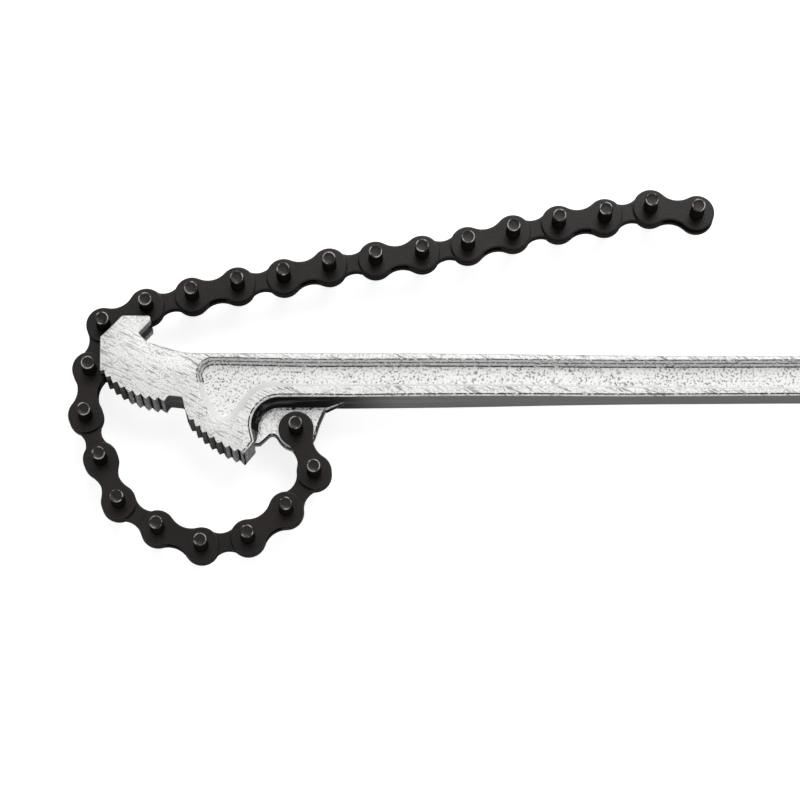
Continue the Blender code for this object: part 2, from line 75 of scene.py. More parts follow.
def polar(centre: Point, radius: float, degrees: float) -> Point:
    """Point at a radius and an angle in degrees from the centre."""
    angle = math.radians(degrees)
    return centre[0] + radius * math.cos(angle), centre[1] + radius * math.sin(angle)


def arc(centre: Point, radius: float, start: float, end: float, step: float = 5.0) -> list[Point]:
    """Points along an arc between two angles in degrees, ends included, at most a step apart."""
    steps = max(1, math.ceil(abs(end - start) / step))
    return [polar(centre, radius, start + (end - start) * i / steps) for i in range(steps + 1)]


def circle(centre: Point, radius: float, height: float, sides: int) -> list[Place]:
    """Points around a level circle, anticlockwise."""
    return [(*polar(centre, radius, 360.0 * i / sides), height) for i in range(sides)]


def fillet(before: Point, corner: Point, after: Point, radius: float) -> list[Point]:
    """Points of the arc that rounds a corner, limited by the sides next to it.

    Args:
        before: Corner before this one.
        corner: Corner to round.
        after: Corner after this one.
        radius: Wanted radius in metres.

    Returns:
        The arc's points in order.
    """
    tip = Vector(corner)
    first, second = Vector(before) - tip, Vector(after) - tip
    half = first.angle(second) / 2
    room = FILLET_SHARE * min(first.length, second.length)
    reach = min(radius / math.tan(half), room)
    radius = reach * math.tan(half)
    centre = tip + (first.normalized() + second.normalized()).normalized() * radius / math.sin(half)
    start = tip + first.normalized() * reach - centre
    turn = math.degrees(start.angle_signed(tip + second.normalized() * reach - centre))
    angle = math.degrees(math.atan2(start.y, start.x))
    return arc(tuple(centre), radius, angle, angle - turn, FILLET_STEP)


def mirrored(upper: list[Point]) -> list[Point]:
    """Whole profile, from the bottom up, whose lower half mirrors the upper one."""
    return [(aside, -height) for aside, height in upper[::-1]] + upper


def rolled_edge(rounding: float, half: float, flat: float, angles: Sequence[float]) -> list[Point]:
    """Section of a flat part's rim, rounded at both faces.

    Args:
        rounding: Radius of the rounding.
        half: Half the part's thickness.
        flat: Width of the band beside the rounding on each face.
        angles: Angles of the rounding's points in degrees, from the face down.

    Returns:
        Distance inwards and height of each point, from the top down.
    """
    upper = [(rounding + flat, half)]
    for angle in map(math.radians, angles):
        upper.append((rounding * (1 - math.cos(angle)), half - rounding * (1 - math.sin(angle))))
    return mirrored(upper[::-1])[::-1]


class EdgeKind(Enum):
    """How the forging's edge is finished at a place along its outline."""

    FORGED = "forged"
    GROUND = "ground"
    TOOTH = "tooth"
    ARCH = "arch"
    UNDER = "under"
    NOTCH = "notch"
    HEEL = "heel"
    ROOT = "root"
    WORN = "worn"


class Finish(Enum):
    """Material slots of the forging, in order."""

    FACE = 0
    FLOOR = 1
    # Flank walls and the groove's walls: painted shade.
    FLANK = 2
    # Ragged seam lines at the face's edge and dark specks on the lug, and painted shade lines on recess
    # walls that face away from the light.
    SEAM = 3
    # Worn edges, with painted highlight lines on the heel, notch and lug rim.
    TIP = 4
    # Bead of the web's fairing: painted highlight.
    BEAD = 5
    # Recess walls that face the light: painted light, paler than the face.
    SLOPE = 6
    # Lug's faces: painted light against the shadow the handle casts.
    LUG = 7
    # Tooth roots: darker painted shade.
    HOLLOW = 8


@dataclass(frozen=True)
class EdgeStyle:
    """Sizes of an edge: rounding at the face, draft down to the middle, spread at the lug's web.

    The seam is 1 where a ragged line follows the edge of the ground face, the tip is 1 on a worn
    edge that also gets painted highlight lines, and the hollow is 1 where painted shade darkens
    the wall, as at a tooth's root.
    """

    rounding: float
    draft: float
    foot: float = 0.0
    seam: float = 0.0
    tip: float = 0.0
    hollow: float = 0.0

    def towards(self, other: "EdgeStyle", share: float) -> "EdgeStyle":
        """Edge style between this one and another; tip and hollow stay as they are here.

        Args:
            other: Style at share 1.
            share: Place between them.

        Returns:
            The mixed style.
        """
        first = self.rounding, self.draft, self.foot, self.seam
        second = other.rounding, other.draft, other.foot, other.seam
        mixed = [start + (end - start) * share for start, end in zip(first, second)]
        return EdgeStyle(*mixed, self.tip, self.hollow)


@dataclass(frozen=True)
class Corner:
    """Corner of an outline with its fillet radius and the kind of edge around it."""

    x: float
    y: float
    radius: float = 0.0
    kind: EdgeKind = EdgeKind.FORGED

    @property
    def point(self) -> Point:
        """The corner's x and y."""
        return self.x, self.y


@dataclass
class Outline:
    """Closed outline that runs anticlockwise, with one edge style for each point."""

    points: list[Point] = field(default_factory=list)
    styles: list[EdgeStyle] = field(default_factory=list)

    @classmethod
    def through(cls, corners: list[Corner], styles: dict[EdgeKind, EdgeStyle]) -> "Outline":
        """Round the corners and divide the long sides.

        Args:
            corners: The outline's corners, anticlockwise.
            styles: Edge style of each kind of edge.

        Returns:
            The outline.
        """
        placed: list[tuple[Point, EdgeStyle]] = []
        for i, corner in enumerate(corners):
            around = [corner.point]
            if corner.radius:
                before, after = corners[i - 1].point, corners[(i + 1) % len(corners)].point
                around = fillet(before, corner.point, after, corner.radius)
            placed += [(point, styles[corner.kind]) for point in around]
        made = cls()
        for i, (point, style) in enumerate(placed):
            after, after_style = placed[(i + 1) % len(placed)]
            parts = max(1, math.ceil(math.dist(point, after) / LONGEST_SIDE))
            for share in [part / parts for part in range(parts)]:
                x, y = (here + (there - here) * share for here, there in zip(point, after))
                made.points.append((x, y))
                made.styles.append(style.towards(after_style, share))
        return made

    @cached_property
    def normals(self) -> list[Vector]:
        """Inward direction at each point, stretched at corners so that sides move in parallel."""
        found = []
        count = len(self.points)
        for i in range(count):
            here, before = Vector(self.points[i]), Vector(self.points[i - 1])
            after = Vector(self.points[(i + 1) % count])
            first, second = (here - before).normalized(), (after - here).normalized()
            normal = Vector((-(first.y + second.y), first.x + second.x)).normalized()
            stretch = max(normal.dot(Vector((-first.y, first.x))), LEAST_STRETCH)
            found.append(normal / stretch)
        return found

    def moved(self, asides: float | list[float], heights: float | list[float]) -> list[Place]:
        """The outline's points moved inwards and lifted.

        Args:
            asides: Distance inwards, or one for each point.
            heights: Height, or one for each point.

        Returns:
            The moved points in order.
        """
        count = len(self.points)
        asides, heights = (
            value if isinstance(value, list) else [value] * count for value in (asides, heights)
        )
        rows = zip(self.points, self.normals, asides, heights)
        return [(*(Vector(point) + normal * aside), height) for point, normal, aside, height in rows]


class Shell:
    """Closed surface that is put together from rings of points."""

    def __init__(self) -> None:
        """Start an empty surface."""
        self.shape = bmesh.new()

    def ring(self, points: list[Place]) -> Ring:
        """Add a ring of points in order and give its vertices."""
        return [self.shape.verts.new(point) for point in points]

    def bridge(self, rings: list[Ring], finish: Finish | list[Finish] = Finish.FACE) -> None:
        """Join each ring to the next one with a band of faces.

        Args:
            rings: Rings with equally many points.
            finish: Finish of the faces, or one for each point around.
        """
        for lower, upper in zip(rings, rings[1:]):
            for i in range(len(lower)):
                j = (i + 1) % len(lower)
                face = self.shape.faces.new((lower[i], lower[j], upper[j], upper[i]))
                face.material_index = (finish[i] if isinstance(finish, list) else finish).value

    def cap(self, rings: list[Ring], finish: Finish = Finish.FACE) -> None:
        """Fill the flat region between rings with even triangles.

        Args:
            rings: The region's edge and its holes.
            finish: Finish of the faces.
        """
        corners = [vertex for ring in rings for vertex in ring]
        edges, first = [], 0
        for ring in rings:
            edges += [(first + i, first + (i + 1) % len(ring)) for i in range(len(ring))]
            first += len(ring)
        flat = [vertex.co.xy for vertex in corners]
        places, _, triangles, sources, _, _ = delaunay_2d_cdt(flat, edges, [], 0, FLAT_TOLERANCE)
        for triangle in triangles:
            middle = sum((places[i] for i in triangle), Vector((0.0, 0.0))) / 3
            if sum(self.holds(ring, middle) for ring in rings) % 2:
                face = self.shape.faces.new([corners[sources[i][0]] for i in triangle])
                face.material_index = finish.value

    @staticmethod
    def holds(ring: Ring, place: Vector) -> bool:
        """Whether a ring runs around a place, seen from above.

        Args:
            ring: The ring's vertices.
            place: The place's x and y.

        Returns:
            True if the place is inside.
        """
        crossings = 0
        for i, vertex in enumerate(ring):
            here, before = vertex.co, ring[i - 1].co
            if (here.y > place.y) != (before.y > place.y):
                share = (place.y - here.y) / (before.y - here.y)
                crossings += place.x < here.x + share * (before.x - here.x)
        return crossings % 2 == 1

    def mesh(self, name: str) -> bpy.types.Mesh:
        """Close the work: faces outwards, and the surface as a mesh.

        Args:
            name: Name of the mesh.

        Returns:
            The new mesh.
        """
        bmesh.ops.recalc_face_normals(self.shape, faces=self.shape.faces)
        made = bpy.data.meshes.new(name)
        self.shape.to_mesh(made)
        self.shape.free()
        return made


class Workshop:
    """Small jobs that every piece needs."""

    @staticmethod
    def add(name: str, mesh: bpy.types.Mesh) -> bpy.types.Object:
        """Object with this mesh, in the scene.

        Args:
            name: Name of the object.
            mesh: Its mesh.

        Returns:
            The new object.
        """
        made = bpy.data.objects.new(name, mesh)
        bpy.context.scene.collection.objects.link(made)
        return made

    @staticmethod
    def settle(piece: bpy.types.Object) -> None:
        """Apply all modifiers of a piece, so that it holds a plain mesh.

        Args:
            piece: The object to settle.
        """
        bpy.context.view_layer.update()
        graph = bpy.context.evaluated_depsgraph_get()
        mesh = bpy.data.meshes.new_from_object(piece.evaluated_get(graph))
        piece.modifiers.clear()
        piece.data = mesh

    @staticmethod
    def boolean(piece: bpy.types.Object, operation: str, mesh: bpy.types.Mesh) -> None:
        """Cut or join a piece with a mesh.

        Args:
            piece: The object that changes.
            operation: DIFFERENCE or UNION.
            mesh: The mesh that cuts or joins.
        """
        helper = Workshop.add(mesh.name, mesh)
        made = piece.modifiers.new(operation.lower(), "BOOLEAN")
        made.operation = operation
        made.solver = "EXACT"
        made.object = helper
        Workshop.settle(piece)
        bpy.data.objects.remove(helper, do_unlink=True)

    @staticmethod
    def shade(mesh: bpy.types.Mesh) -> None:
        """Smooth shading with sharp edges kept."""
        mesh.shade_smooth()
        mesh.set_sharp_from_angle(angle=math.radians(SHARP_FROM))

    @staticmethod
    def lathe(profile: list[Point], sides: int, centre: Point = (0.0, 0.0)) -> bpy.types.Mesh:
        """Round solid turned from a profile of (radius, height), from one end to the other.

        Args:
            profile: Radius and height of each ring, first and last with a radius of 0.
            sides: Points around.
            centre: Place of the axis.

        Returns:
            The solid's mesh.
        """
        shell = Shell()
        rings = [shell.ring(circle(centre, *row, sides)) for row in profile[1:-1]]
        shell.bridge(rings)
        for ring, (_, height) in ((rings[0], profile[0]), (rings[-1], profile[-1])):
            tip = shell.shape.verts.new((*centre, height))
            for i in range(sides):
                shell.shape.faces.new((ring[i], ring[(i + 1) % sides], tip))
        return shell.mesh("turned")


class NodeTree:
    """Writes a node tree with one call for each node."""

    relief_depth = 0.0002

    def __init__(self, tree: bpy.types.NodeTree) -> None:
        """Take a tree to fill and empty it."""
        self.tree = tree
        tree.nodes.clear()

    @classmethod
    def material(cls, name: str) -> tuple[bpy.types.Material, "NodeTree"]:
        """New material with an empty tree.

        Args:
            name: Name of the material.

        Returns:
            The material, and the writer of its tree.
        """
        made = bpy.data.materials.new(name)
        made.use_nodes = True
        return made, cls(made.node_tree)

    def add(self, kind: str, inputs: dict | None = None, **settings: object) -> bpy.types.Node:
        """Add a node.

        Args:
            kind: Blender's name of the node type.
            inputs: Values or output sockets by input name or number.
            **settings: Attributes to set on the node.

        Returns:
            The new node.
        """
        node = self.tree.nodes.new(kind)
        for name, value in settings.items():
            setattr(node, name, value)
        for name, value in (inputs or {}).items():
            if isinstance(value, Socket):
                self.tree.links.new(value, node.inputs[name])
            else:
                node.inputs[name].default_value = value
        return node

    def maths(self, operation: str, first: object, second: object) -> Socket:
        """Two values or sockets joined by an operation, under Blender's name for it."""
        return self.add("ShaderNodeMath", {0: first, 1: second}, operation=operation).outputs[0]

    def between(
        self, value: Socket, ends: Sequence[float], results: Point = (0.0, 1.0)
    ) -> Socket:
        """Smooth step of a socket from one range to another.

        Args:
            value: Socket to read.
            ends: The values where the step starts and ends.
            results: The results there.

        Returns:
            The result's socket.
        """
        inputs = {"Value": value, "From Min": ends[0], "From Max": ends[1]}
        inputs |= {"To Min": results[0], "To Max": results[1]}
        return self.add("ShaderNodeMapRange", inputs, interpolation_type="SMOOTHSTEP").outputs[0]

    def noise(self, where: object, scale: float, detail: float, rough: float = 0.5) -> Socket:
        """Noise around 0.5, with its waves per metre, octaves and share of each finer octave."""
        inputs = {"Vector": where, "Scale": scale, "Detail": detail, "Roughness": rough}
        return self.add("ShaderNodeTexNoise", inputs, noise_dimensions="3D").outputs["Fac"]

    def mix(self, share: Socket, first: object, second: object) -> Socket:
        """Mix of two colours.

        Args:
            share: Share of the second colour.
            first: Colour or socket at share 0.
            second: Colour or socket at share 1.

        Returns:
            The colour's socket.
        """
        inputs = {0: share}
        for number, value in ((6, first), (7, second)):
            inputs[number] = value if isinstance(value, Socket) else (*value, 1.0)
        return self.add("ShaderNodeMix", inputs, data_type="RGBA").outputs[2]

    def place(self) -> Socket:
        """The place on the object, in its own coordinates."""
        return self.add("ShaderNodeTexCoord").outputs["Object"]

    def seen(self) -> Socket:
        """Whether a ray comes from the camera, a reflection or a transmission.

        Returns:
            The answer's socket.
        """
        path = self.add("ShaderNodeLightPath").outputs
        seen = self.maths("MAXIMUM", path["Is Camera Ray"], path["Is Glossy Ray"])
        return self.maths("MAXIMUM", seen, path["Is Transmission Ray"])

    def surface(self, inputs: dict, height: Socket | None = None, relief: float = 0.0) -> None:
        """Principled surface as the material's output.

        Args:
            inputs: Values or output sockets by input name.
            height: Socket of the relief's height, if there is a relief.
            relief: Strength of the relief.
        """
        if height is not None:
            bump = {"Strength": relief, "Distance": self.relief_depth, "Height": height}
            inputs = {**inputs, "Normal": self.add("ShaderNodeBump", bump).outputs[0]}
        shader = self.add("ShaderNodeBsdfPrincipled", inputs)
        self.add("ShaderNodeOutputMaterial", {"Surface": shader.outputs[0]})


@dataclass(frozen=True)
class PlatedForging:
    """Satin plated steel: near white, with dark grains and dashes left by casting and grinding.

    A range holds the two noise values between which something fades in.
    """

    name: str
    bright: Colour = (0.80, 0.80, 0.79)
    grit: Colour = (0.09, 0.09, 0.09)
    grain_scale: float = 1300.0
    grain_share: float = 0.55
    grain_range: Point = (0.50, 0.66)
    dash_scale: float = 1250.0
    dash_share: float = 0.85
    dash_range: Point = (0.51, 0.68)
    dash_length: float = 7.0
    dash_angle: float = -27.0
    fineness: float = 0.6
    cloud_scale: float = 120.0
    cloud_range: Point = (0.34, 0.62)
    least_grit: float = 0.45
    metallic: float = 0.3
    rough_range: Point = (0.3, 0.7)
    roughness: Point = (0.35, 0.48)
    relief: float = 0.5

    def build(self) -> bpy.types.Material:
        """Make the material.

        Returns:
            The new material.
        """
        made, tree = NodeTree.material(self.name)
        where = tree.place()
        turn, stretch = (0.0, 0.0, math.radians(self.dash_angle)), (self.dash_length, 1.0, 1.0)
        drawn = {"Vector": where, "Rotation": turn, "Scale": stretch}
        along = tree.add("ShaderNodeMapping", drawn, vector_type="TEXTURE").outputs[0]
        grains = tree.noise(where, self.grain_scale, 2.0, self.fineness)
        dashes = tree.noise(along, self.dash_scale, 2.0, self.fineness)
        cloud = tree.noise(where, self.cloud_scale, 3.0)
        pits = tree.maths("MULTIPLY", tree.between(grains, self.grain_range), self.grain_share)
        lines = tree.maths("MULTIPLY", tree.between(dashes, self.dash_range), self.dash_share)
        marks = tree.maths("MAXIMUM", pits, lines)
        strength = tree.between(cloud, self.cloud_range, (self.least_grit, 1.0))
        colour = tree.mix(tree.maths("MULTIPLY", marks, strength), self.bright, self.grit)
        rough = tree.between(cloud, self.rough_range, self.roughness)
        inputs = {"Base Color": colour, "Metallic": self.metallic, "Roughness": rough}
        tree.surface(inputs, tree.maths("SUBTRACT", 1.0, marks), self.relief)
        return made


@dataclass(frozen=True)
class PaintedShadeFlank:
    """Painted shade on the flank walls, which face away from the light: brown grey at the jaws, a black
    painted shadow in the arch, lighter grey along the grip, and painted glints of reflected light.

    The zones' places are measured from the first pin.
    """

    name: str = "dark_flank"
    jaws: Colour = (0.190, 0.182, 0.175)
    arch: Colour = (0.022, 0.021, 0.020)
    grip: Colour = (0.290, 0.283, 0.278)
    glint: Colour = (0.42, 0.42, 0.42)
    glint_share: float = 0.45
    glint_range: Point = (0.52, 0.70)
    glint_scale: float = 240.0
    glint_stretch: float = 0.12
    arch_from: Point = (-0.030, -0.022)
    arch_above: Point = (0.019, 0.023)
    grip_from: Point = (0.010, 0.045)
    grain_scale: float = 1400.0
    roughness: float = 0.55
    relief: float = 0.3

    def build(self, pin: Vector) -> bpy.types.Material:
        """Make the material.

        Args:
            pin: Middle of the first pin.

        Returns:
            The new material.
        """
        made, tree = NodeTree.material(self.name)
        where = tree.place()
        along, across, _ = tree.add("ShaderNodeSeparateXYZ", {0: where}).outputs
        stretch = {"Vector": where, "Scale": (self.glint_stretch, 1.0, 1.0)}
        drawn = tree.add("ShaderNodeMapping", stretch).outputs[0]
        waves = tree.noise(drawn, self.glint_scale, 3.0)
        in_arch = tree.between(along, [pin.x + place for place in self.arch_from])
        in_grip = tree.between(along, [pin.x + place for place in self.grip_from])
        below = tree.between(across, [pin.y + place for place in self.arch_above], (1.0, 0.0))
        # Painted shade: black shadow in the arch, brown grey at the jaws, lighter grey along the grip.
        base = tree.mix(tree.maths("MULTIPLY", in_arch, below), self.jaws, self.arch)
        base = tree.mix(in_grip, base, self.grip)
        # Painted glints: streaks of reflected light along the flank.
        glints = tree.maths("MULTIPLY", tree.between(waves, self.glint_range), self.glint_share)
        inputs = {
            "Base Color": tree.mix(glints, base, self.glint),
            "Metallic": 0.0,
            "Roughness": self.roughness,
            "Specular IOR Level": 0.0,
        }
        tree.surface(inputs, tree.noise(where, self.grain_scale, 2.0), self.relief)
        return made


@dataclass(frozen=True)
class RaggedLine:
    """Narrow ragged band where dark skin and bright plating meet; copies of it also carry painted shade
    and painted highlights.
    """

    name: str
    ends: Point
    dark: Colour = (0.030, 0.029, 0.029)
    bright: Colour = (0.72, 0.72, 0.72)
    scale: float = 900.0
    fineness: float = 0.6
    metallic: float = 0.2
    roughness: float = 0.5
    specular: float = 0.25

    def build(self) -> bpy.types.Material:
        """Make the material.

        Returns:
            The new material.
        """
        made, tree = NodeTree.material(self.name)
        share = tree.between(tree.noise(tree.place(), self.scale, 3.0, self.fineness), self.ends)
        inputs = {
            "Base Color": tree.mix(share, self.dark, self.bright),
            "Metallic": self.metallic,
            "Roughness": self.roughness,
            "Specular IOR Level": self.specular,
        }
        tree.surface(inputs)
        return made


@dataclass(frozen=True)
class OiledOxide:
    """Dark oiled oxide of the chain, with metal that shows through where it wears."""

    name: str = "oiled_oxide"
    dark: Colour = (0.009, 0.0065, 0.0055)
    warm: Colour = (0.016, 0.0105, 0.0085)
    worn: Colour = (0.50, 0.48, 0.47)
    cloud_scale: float = 70.0
    cloud_range: Point = (0.35, 0.65)
    grain_scale: float = 1600.0
    fineness: float = 0.6
    worn_scale: float = 420.0
    worn_range: Point = (0.42, 0.60)
    rough_range: Point = (0.3, 0.7)
    roughness: Point = (0.14, 0.28)
    specular: float = 0.20
    relief: float = 0.22

    def build(self) -> bpy.types.Material:
        """Make the material.

        Returns:
            The new material.
        """
        made, tree = NodeTree.material(self.name)
        where = tree.place()
        wear = tree.add("ShaderNodeAttribute", attribute_name="wear").outputs["Fac"]
        cloud = tree.noise(where, self.cloud_scale, 3.0)
        grain = tree.noise(where, self.grain_scale, 3.0, self.fineness)
        patches = tree.noise(where, self.worn_scale, 3.0)
        oxide = tree.mix(tree.between(cloud, self.cloud_range), self.dark, self.warm)
        rubbed = tree.maths("MULTIPLY", wear, tree.between(patches, self.worn_range))
        inputs = {
            "Base Color": tree.mix(rubbed, oxide, self.worn),
            "Metallic": 0.0,
            "Roughness": tree.between(grain, self.rough_range, self.roughness),
            "Specular IOR Level": self.specular,
        }
        tree.surface(inputs, grain, self.relief)
        return made


@dataclass
class ForgedHandle:
    """The forging: handle with a recess in each side, two toothed jaws, nose, hook and lug.

    Lengths are in metres, from the first pin's axis and the middle of the thickness. A jaw has
    the radius of its arc, first angle, sweep and number of teeth.
    """

    origin: Vector
    length: float = 0.457
    axis: float = 0.0210
    width: float = 0.0164
    head_half: float = 0.0130
    grip_half: float = 0.0090
    end_half: float = 0.0080
    taper: Point = (0.0450, 0.1500)
    hang_hole: float = 0.0047
    hang_flare: float = 0.0010
    eye_sides: int = 64
    nose_front: float = -0.0791
    nose_top: float = 0.0450
    nose_chamfer: float = 0.0088
    nose_radius: float = 0.0010
    hook_tip: float = -0.0590
    hook_depth: float = 0.0048
    hook_half_angle: float = 46.0
    hook_land: float = 0.0022
    hook_radii: tuple[float, float, float] = (0.0015, 0.0008, 0.0005)
    neck_share: float = 0.75
    neck_length: float = 0.0150
    neck_radius: float = 0.030
    jaw_corner: float = 0.0224
    upper_jaw: tuple[float, float, float, int] = (0.0356, -140.0, 48.0, 8)
    lower_tip: Point = (-0.0428, 0.0022)
    lower_jaw: tuple[float, float, float, int] = (0.0432, -140.6, 35.0, 7)
    throat_corners: tuple[Point, Point, Point] = ((0.0016, 0.0024), (-0.0030, 0.0018), (-0.0018, 0.0040))
    throat_radius: float = 0.0014
    tooth_depth: float = 0.0015
    tooth_skew: float = 0.30
    tooth_rise: Point = (0.42, 0.62)
    tooth_radii: tuple[float, float, float] = (0.00020, 0.00035, 0.00012)
    worn_from: float = -118.0
    jaw_end: Point = (0.0068, 50.0)
    heel_share: float = 0.12
    arch_radius: float = 0.0114
    arch_x: float = -0.0065
    arch_turn: Point = (187.0, 90.0)
    sag: float = 0.0013
    sag_line: tuple[Point, ...] = ((0.0124, 1.0), (0.0194, 1.0), (0.1000, 0.4), (0.2000, 0.0))
    under_end: float = 0.2600
    crown: float = 0.0004
    parting: Point = (0.0008, 0.00012)
    bead: Point = (0.0008, 0.3)
    # Wall rings between which the bead gets its painted highlight.
    bead_rings: tuple[int, int] = (4, 6)
    seam_width: float = 0.0006
    wall_levels: tuple[float, ...] = (
        *(0.0, 0.05, 0.08, 0.20, 0.235, 0.25, 0.28),
        *(0.33, 0.40, 0.50, 0.62, 0.76, 0.90, 1.0),
    )
    round_angles: tuple[float, ...] = (22.5, 45.0, 67.5, 90.0)
    rim: float = 0.0026
    rim_flare: float = 15.0
    recess_depth: float = 0.0053
    recess_margins: Point = (0.0016, 0.0030)
    recess_front: Point = (-0.0410, -0.0384)
    recess_tip: Point = (-0.0298, -0.0035)
    recess_slant: float = 38.0
    recess_foot: Point = (0.1000, 0.0035)
    recess_radii: tuple[float, ...] = (0.0040, 0.0040, 0.050, 0.0075, 0.0200, 0.0059, 0.0120, 0.0)
    slope: Point = (0.29, 0.32)
    slope_fade: Point = (0.004, 0.024)
    lip: tuple[Point, ...] = (
        (-0.00066, 0.0),
        (-0.00052, 0.0),
        (-0.00010, 0.00008),
        (0.00008, 0.0003),
        (0.00012, 0.0005),
    )
    steps: tuple[Point, ...] = (
        *((0.30, 0.0), (0.46, 0.0), (0.80, 0.0)),
        *((0.90, 0.00012), (1.20, 0.0), (1.32, 0.0)),
    )
    shade_facing: float = 0.15
    shade_from: float = -0.0400
    lug_radius: float = 0.0084
    lug_turn: Point = (-142.0, -22.0)
    lug_side: tuple[tuple[float, float, float], ...] = (
        (0.0012, -0.0104, 0.0100),
        (0.0036, -0.0048, 0.0050),
        (0.0050, 0.0, 0.0040),
    )
    lug_notch: tuple[Point, Point] = ((0.0033, 0.0014), (0.0008, 0.0026))
    lug_levels: Point = (-0.0062, -0.0012)
    lug_rounding: float = 0.0007
    lug_edge: float = 0.0004
    lug_rough_from: float = 0.0060
    web_half: float = 0.0028
    web_inside: float = 0.0030
    pin_bore: float = 0.00303
    bore_sides: int = 48
    groove_half: float = 0.0055
    groove_gap: float = 0.0004
    groove_start: float = 0.0022
    groove_bend: float = 0.0125
    plate_radius: float = 0.00715
    styles: dict[EdgeKind, EdgeStyle] = field(
        default_factory=lambda: {
            EdgeKind.FORGED: EdgeStyle(0.0008, 0.0004),
            EdgeKind.GROUND: EdgeStyle(0.0003, 0.0),
            EdgeKind.TOOTH: EdgeStyle(0.00008, 0.0),
            EdgeKind.ARCH: EdgeStyle(0.0008, 0.0004, 0.0026, 1.0),
            EdgeKind.UNDER: EdgeStyle(0.0006, 0.0004, 0.0, 1.0),
            # Notch, heel and worn teeth: the worn edge finish with painted highlight lines.
            EdgeKind.NOTCH: EdgeStyle(0.0003, 0.0, tip=1.0),
            EdgeKind.HEEL: EdgeStyle(0.0006, 0.0, seam=1.0, tip=1.0),
            # Tooth roots: painted shade.
            EdgeKind.ROOT: EdgeStyle(0.00008, 0.0, hollow=1.0),
            EdgeKind.WORN: EdgeStyle(0.00008, 0.0, tip=1.0),
        }
    )

    @property
    def free_end(self) -> float:
        """X of the handle's free end."""
        return self.nose_front + self.length

    @property
    def end_centre(self) -> Point:
        """Centre of the round free end and of its hang hole."""
        return self.free_end - self.width / 2, self.axis

    @property
    def top(self) -> float:
        """Y of the handle's upper edge."""
        return self.axis + self.width / 2

    @property
    def bottom(self) -> float:
        """Y of the handle's lower edge."""
        return self.axis - self.width / 2

    @property
    def hook_mouth(self) -> float:
        """Half the width of the hook's notch at its mouth."""
        return self.hook_depth * math.tan(math.radians(self.hook_half_angle))

    def half_thickness(self, x: float) -> float:
        """Half the thickness at a place along the handle.

        Args:
            x: Place along the handle.

        Returns:
            Half the thickness there.
        """
        start, end = self.taper
        share = min(max((x - start) / (end - start), 0.0), 1.0)
        eased = (1 - math.cos(math.pi * share)) / 2
        beyond = min(max((x - end) / (self.free_end - end), 0.0), 1.0)
        grip = self.grip_half + (self.end_half - self.grip_half) * beyond
        return self.head_half + (grip - self.head_half) * eased

    def teeth(self, centre: Point, jaw: tuple[float, float, float, int]) -> list[Corner]:
        """Row of teeth along an arc, each with a steep back, a hollow root and a worn tip.

        Args:
            centre: Centre of the jaw's arc.
            jaw: Radius, first angle, sweep and number of teeth.

        Returns:
            The row's corners.
        """
        radius, start, sweep, count = jaw
        tip, root, last = self.tooth_radii
        pitch = sweep / count
        corners = []
        for tooth in range(count):
            angle = start + tooth * pitch
            kind = EdgeKind.WORN if angle > self.worn_from else EdgeKind.TOOTH
            low = polar(centre, radius - self.tooth_depth, angle + self.tooth_skew * pitch)
            up, along = self.tooth_rise
            rise = polar(centre, radius - up * self.tooth_depth, angle + along * pitch)
            corners.append(Corner(*polar(centre, radius, angle), tip, kind))
            corners.append(Corner(*low, root, EdgeKind.ROOT))
            corners.append(Corner(*rise, 0.0, kind))
        return [*corners, Corner(*polar(centre, radius, start + sweep), last, EdgeKind.TOOTH)]

    def hook(self) -> list[Corner]:
        """Corners from the handle's upper edge over the neck and the notch to the hook's tip.

        Returns:
            The corners in order.
        """
        notch = EdgeKind.NOTCH
        at_neck, at_apex, at_tip = self.hook_radii
        apex = self.hook_tip - self.hook_depth, self.nose_top - self.hook_land - self.hook_mouth
        neck = apex[0] + self.neck_share * self.hook_depth, apex[1] - self.neck_share * self.hook_mouth
        return [
            Corner(neck[0] + self.neck_length, self.top + self.crown, self.neck_radius),
            Corner(*neck, at_neck, notch),
            Corner(*apex, at_apex, notch),
            Corner(self.hook_tip, apex[1] + self.hook_mouth, at_tip, notch),
            Corner(self.hook_tip, self.nose_top, self.nose_radius, EdgeKind.GROUND),
        ]

    def plan(self) -> Outline:
        """The forging's outline seen from above.

        Returns:
            The outline, anticlockwise.
        """
        radius, start, sweep, _ = self.upper_jaw
        upper_centre = polar((self.nose_front, self.jaw_corner), radius, start + 180)
        throat = polar(upper_centre, radius, start + sweep)
        radius, start, sweep, _ = self.lower_jaw
        lower_centre = polar(self.lower_tip, radius, start + 180)
        jaw_end = polar(lower_centre, radius, start + sweep)
        heel = polar(jaw_end, *self.jaw_end)
        beside = Vector(jaw_end).lerp(Vector(heel), self.heel_share)
        nose = (
            (self.nose_front + self.nose_chamfer, self.nose_top),
            (self.nose_front, self.nose_top - self.nose_chamfer),
        )
        step_in, step_down, step_out = self.throat_corners
        throat_line = (
            (throat[0] + step_in[0], throat[1] + step_in[1]),
            (self.lower_tip[0] + step_down[0], throat[1] + step_down[1]),
            (self.lower_tip[0] + step_out[0], self.lower_tip[1] + step_out[1]),
        )
        arch_centre = self.arch_x, self.bottom - self.sag - self.arch_radius
        corners = [Corner(*point) for point in arc(self.end_centre, self.width / 2, -90, 90)]
        corners += self.hook()
        corners += [Corner(*point, self.nose_radius, EdgeKind.GROUND) for point in nose]
        corners += self.teeth(upper_centre, self.upper_jaw)
        corners += [Corner(*point, self.throat_radius, EdgeKind.GROUND) for point in throat_line]
        corners += self.teeth(lower_centre, self.lower_jaw)
        corners += [Corner(*beside, 0.0, EdgeKind.HEEL), Corner(*heel, self.throat_radius, EdgeKind.HEEL)]
        corners += [
            Corner(*point, 0.0, EdgeKind.ARCH)
            for point in arc(arch_centre, self.arch_radius, *self.arch_turn)
        ]
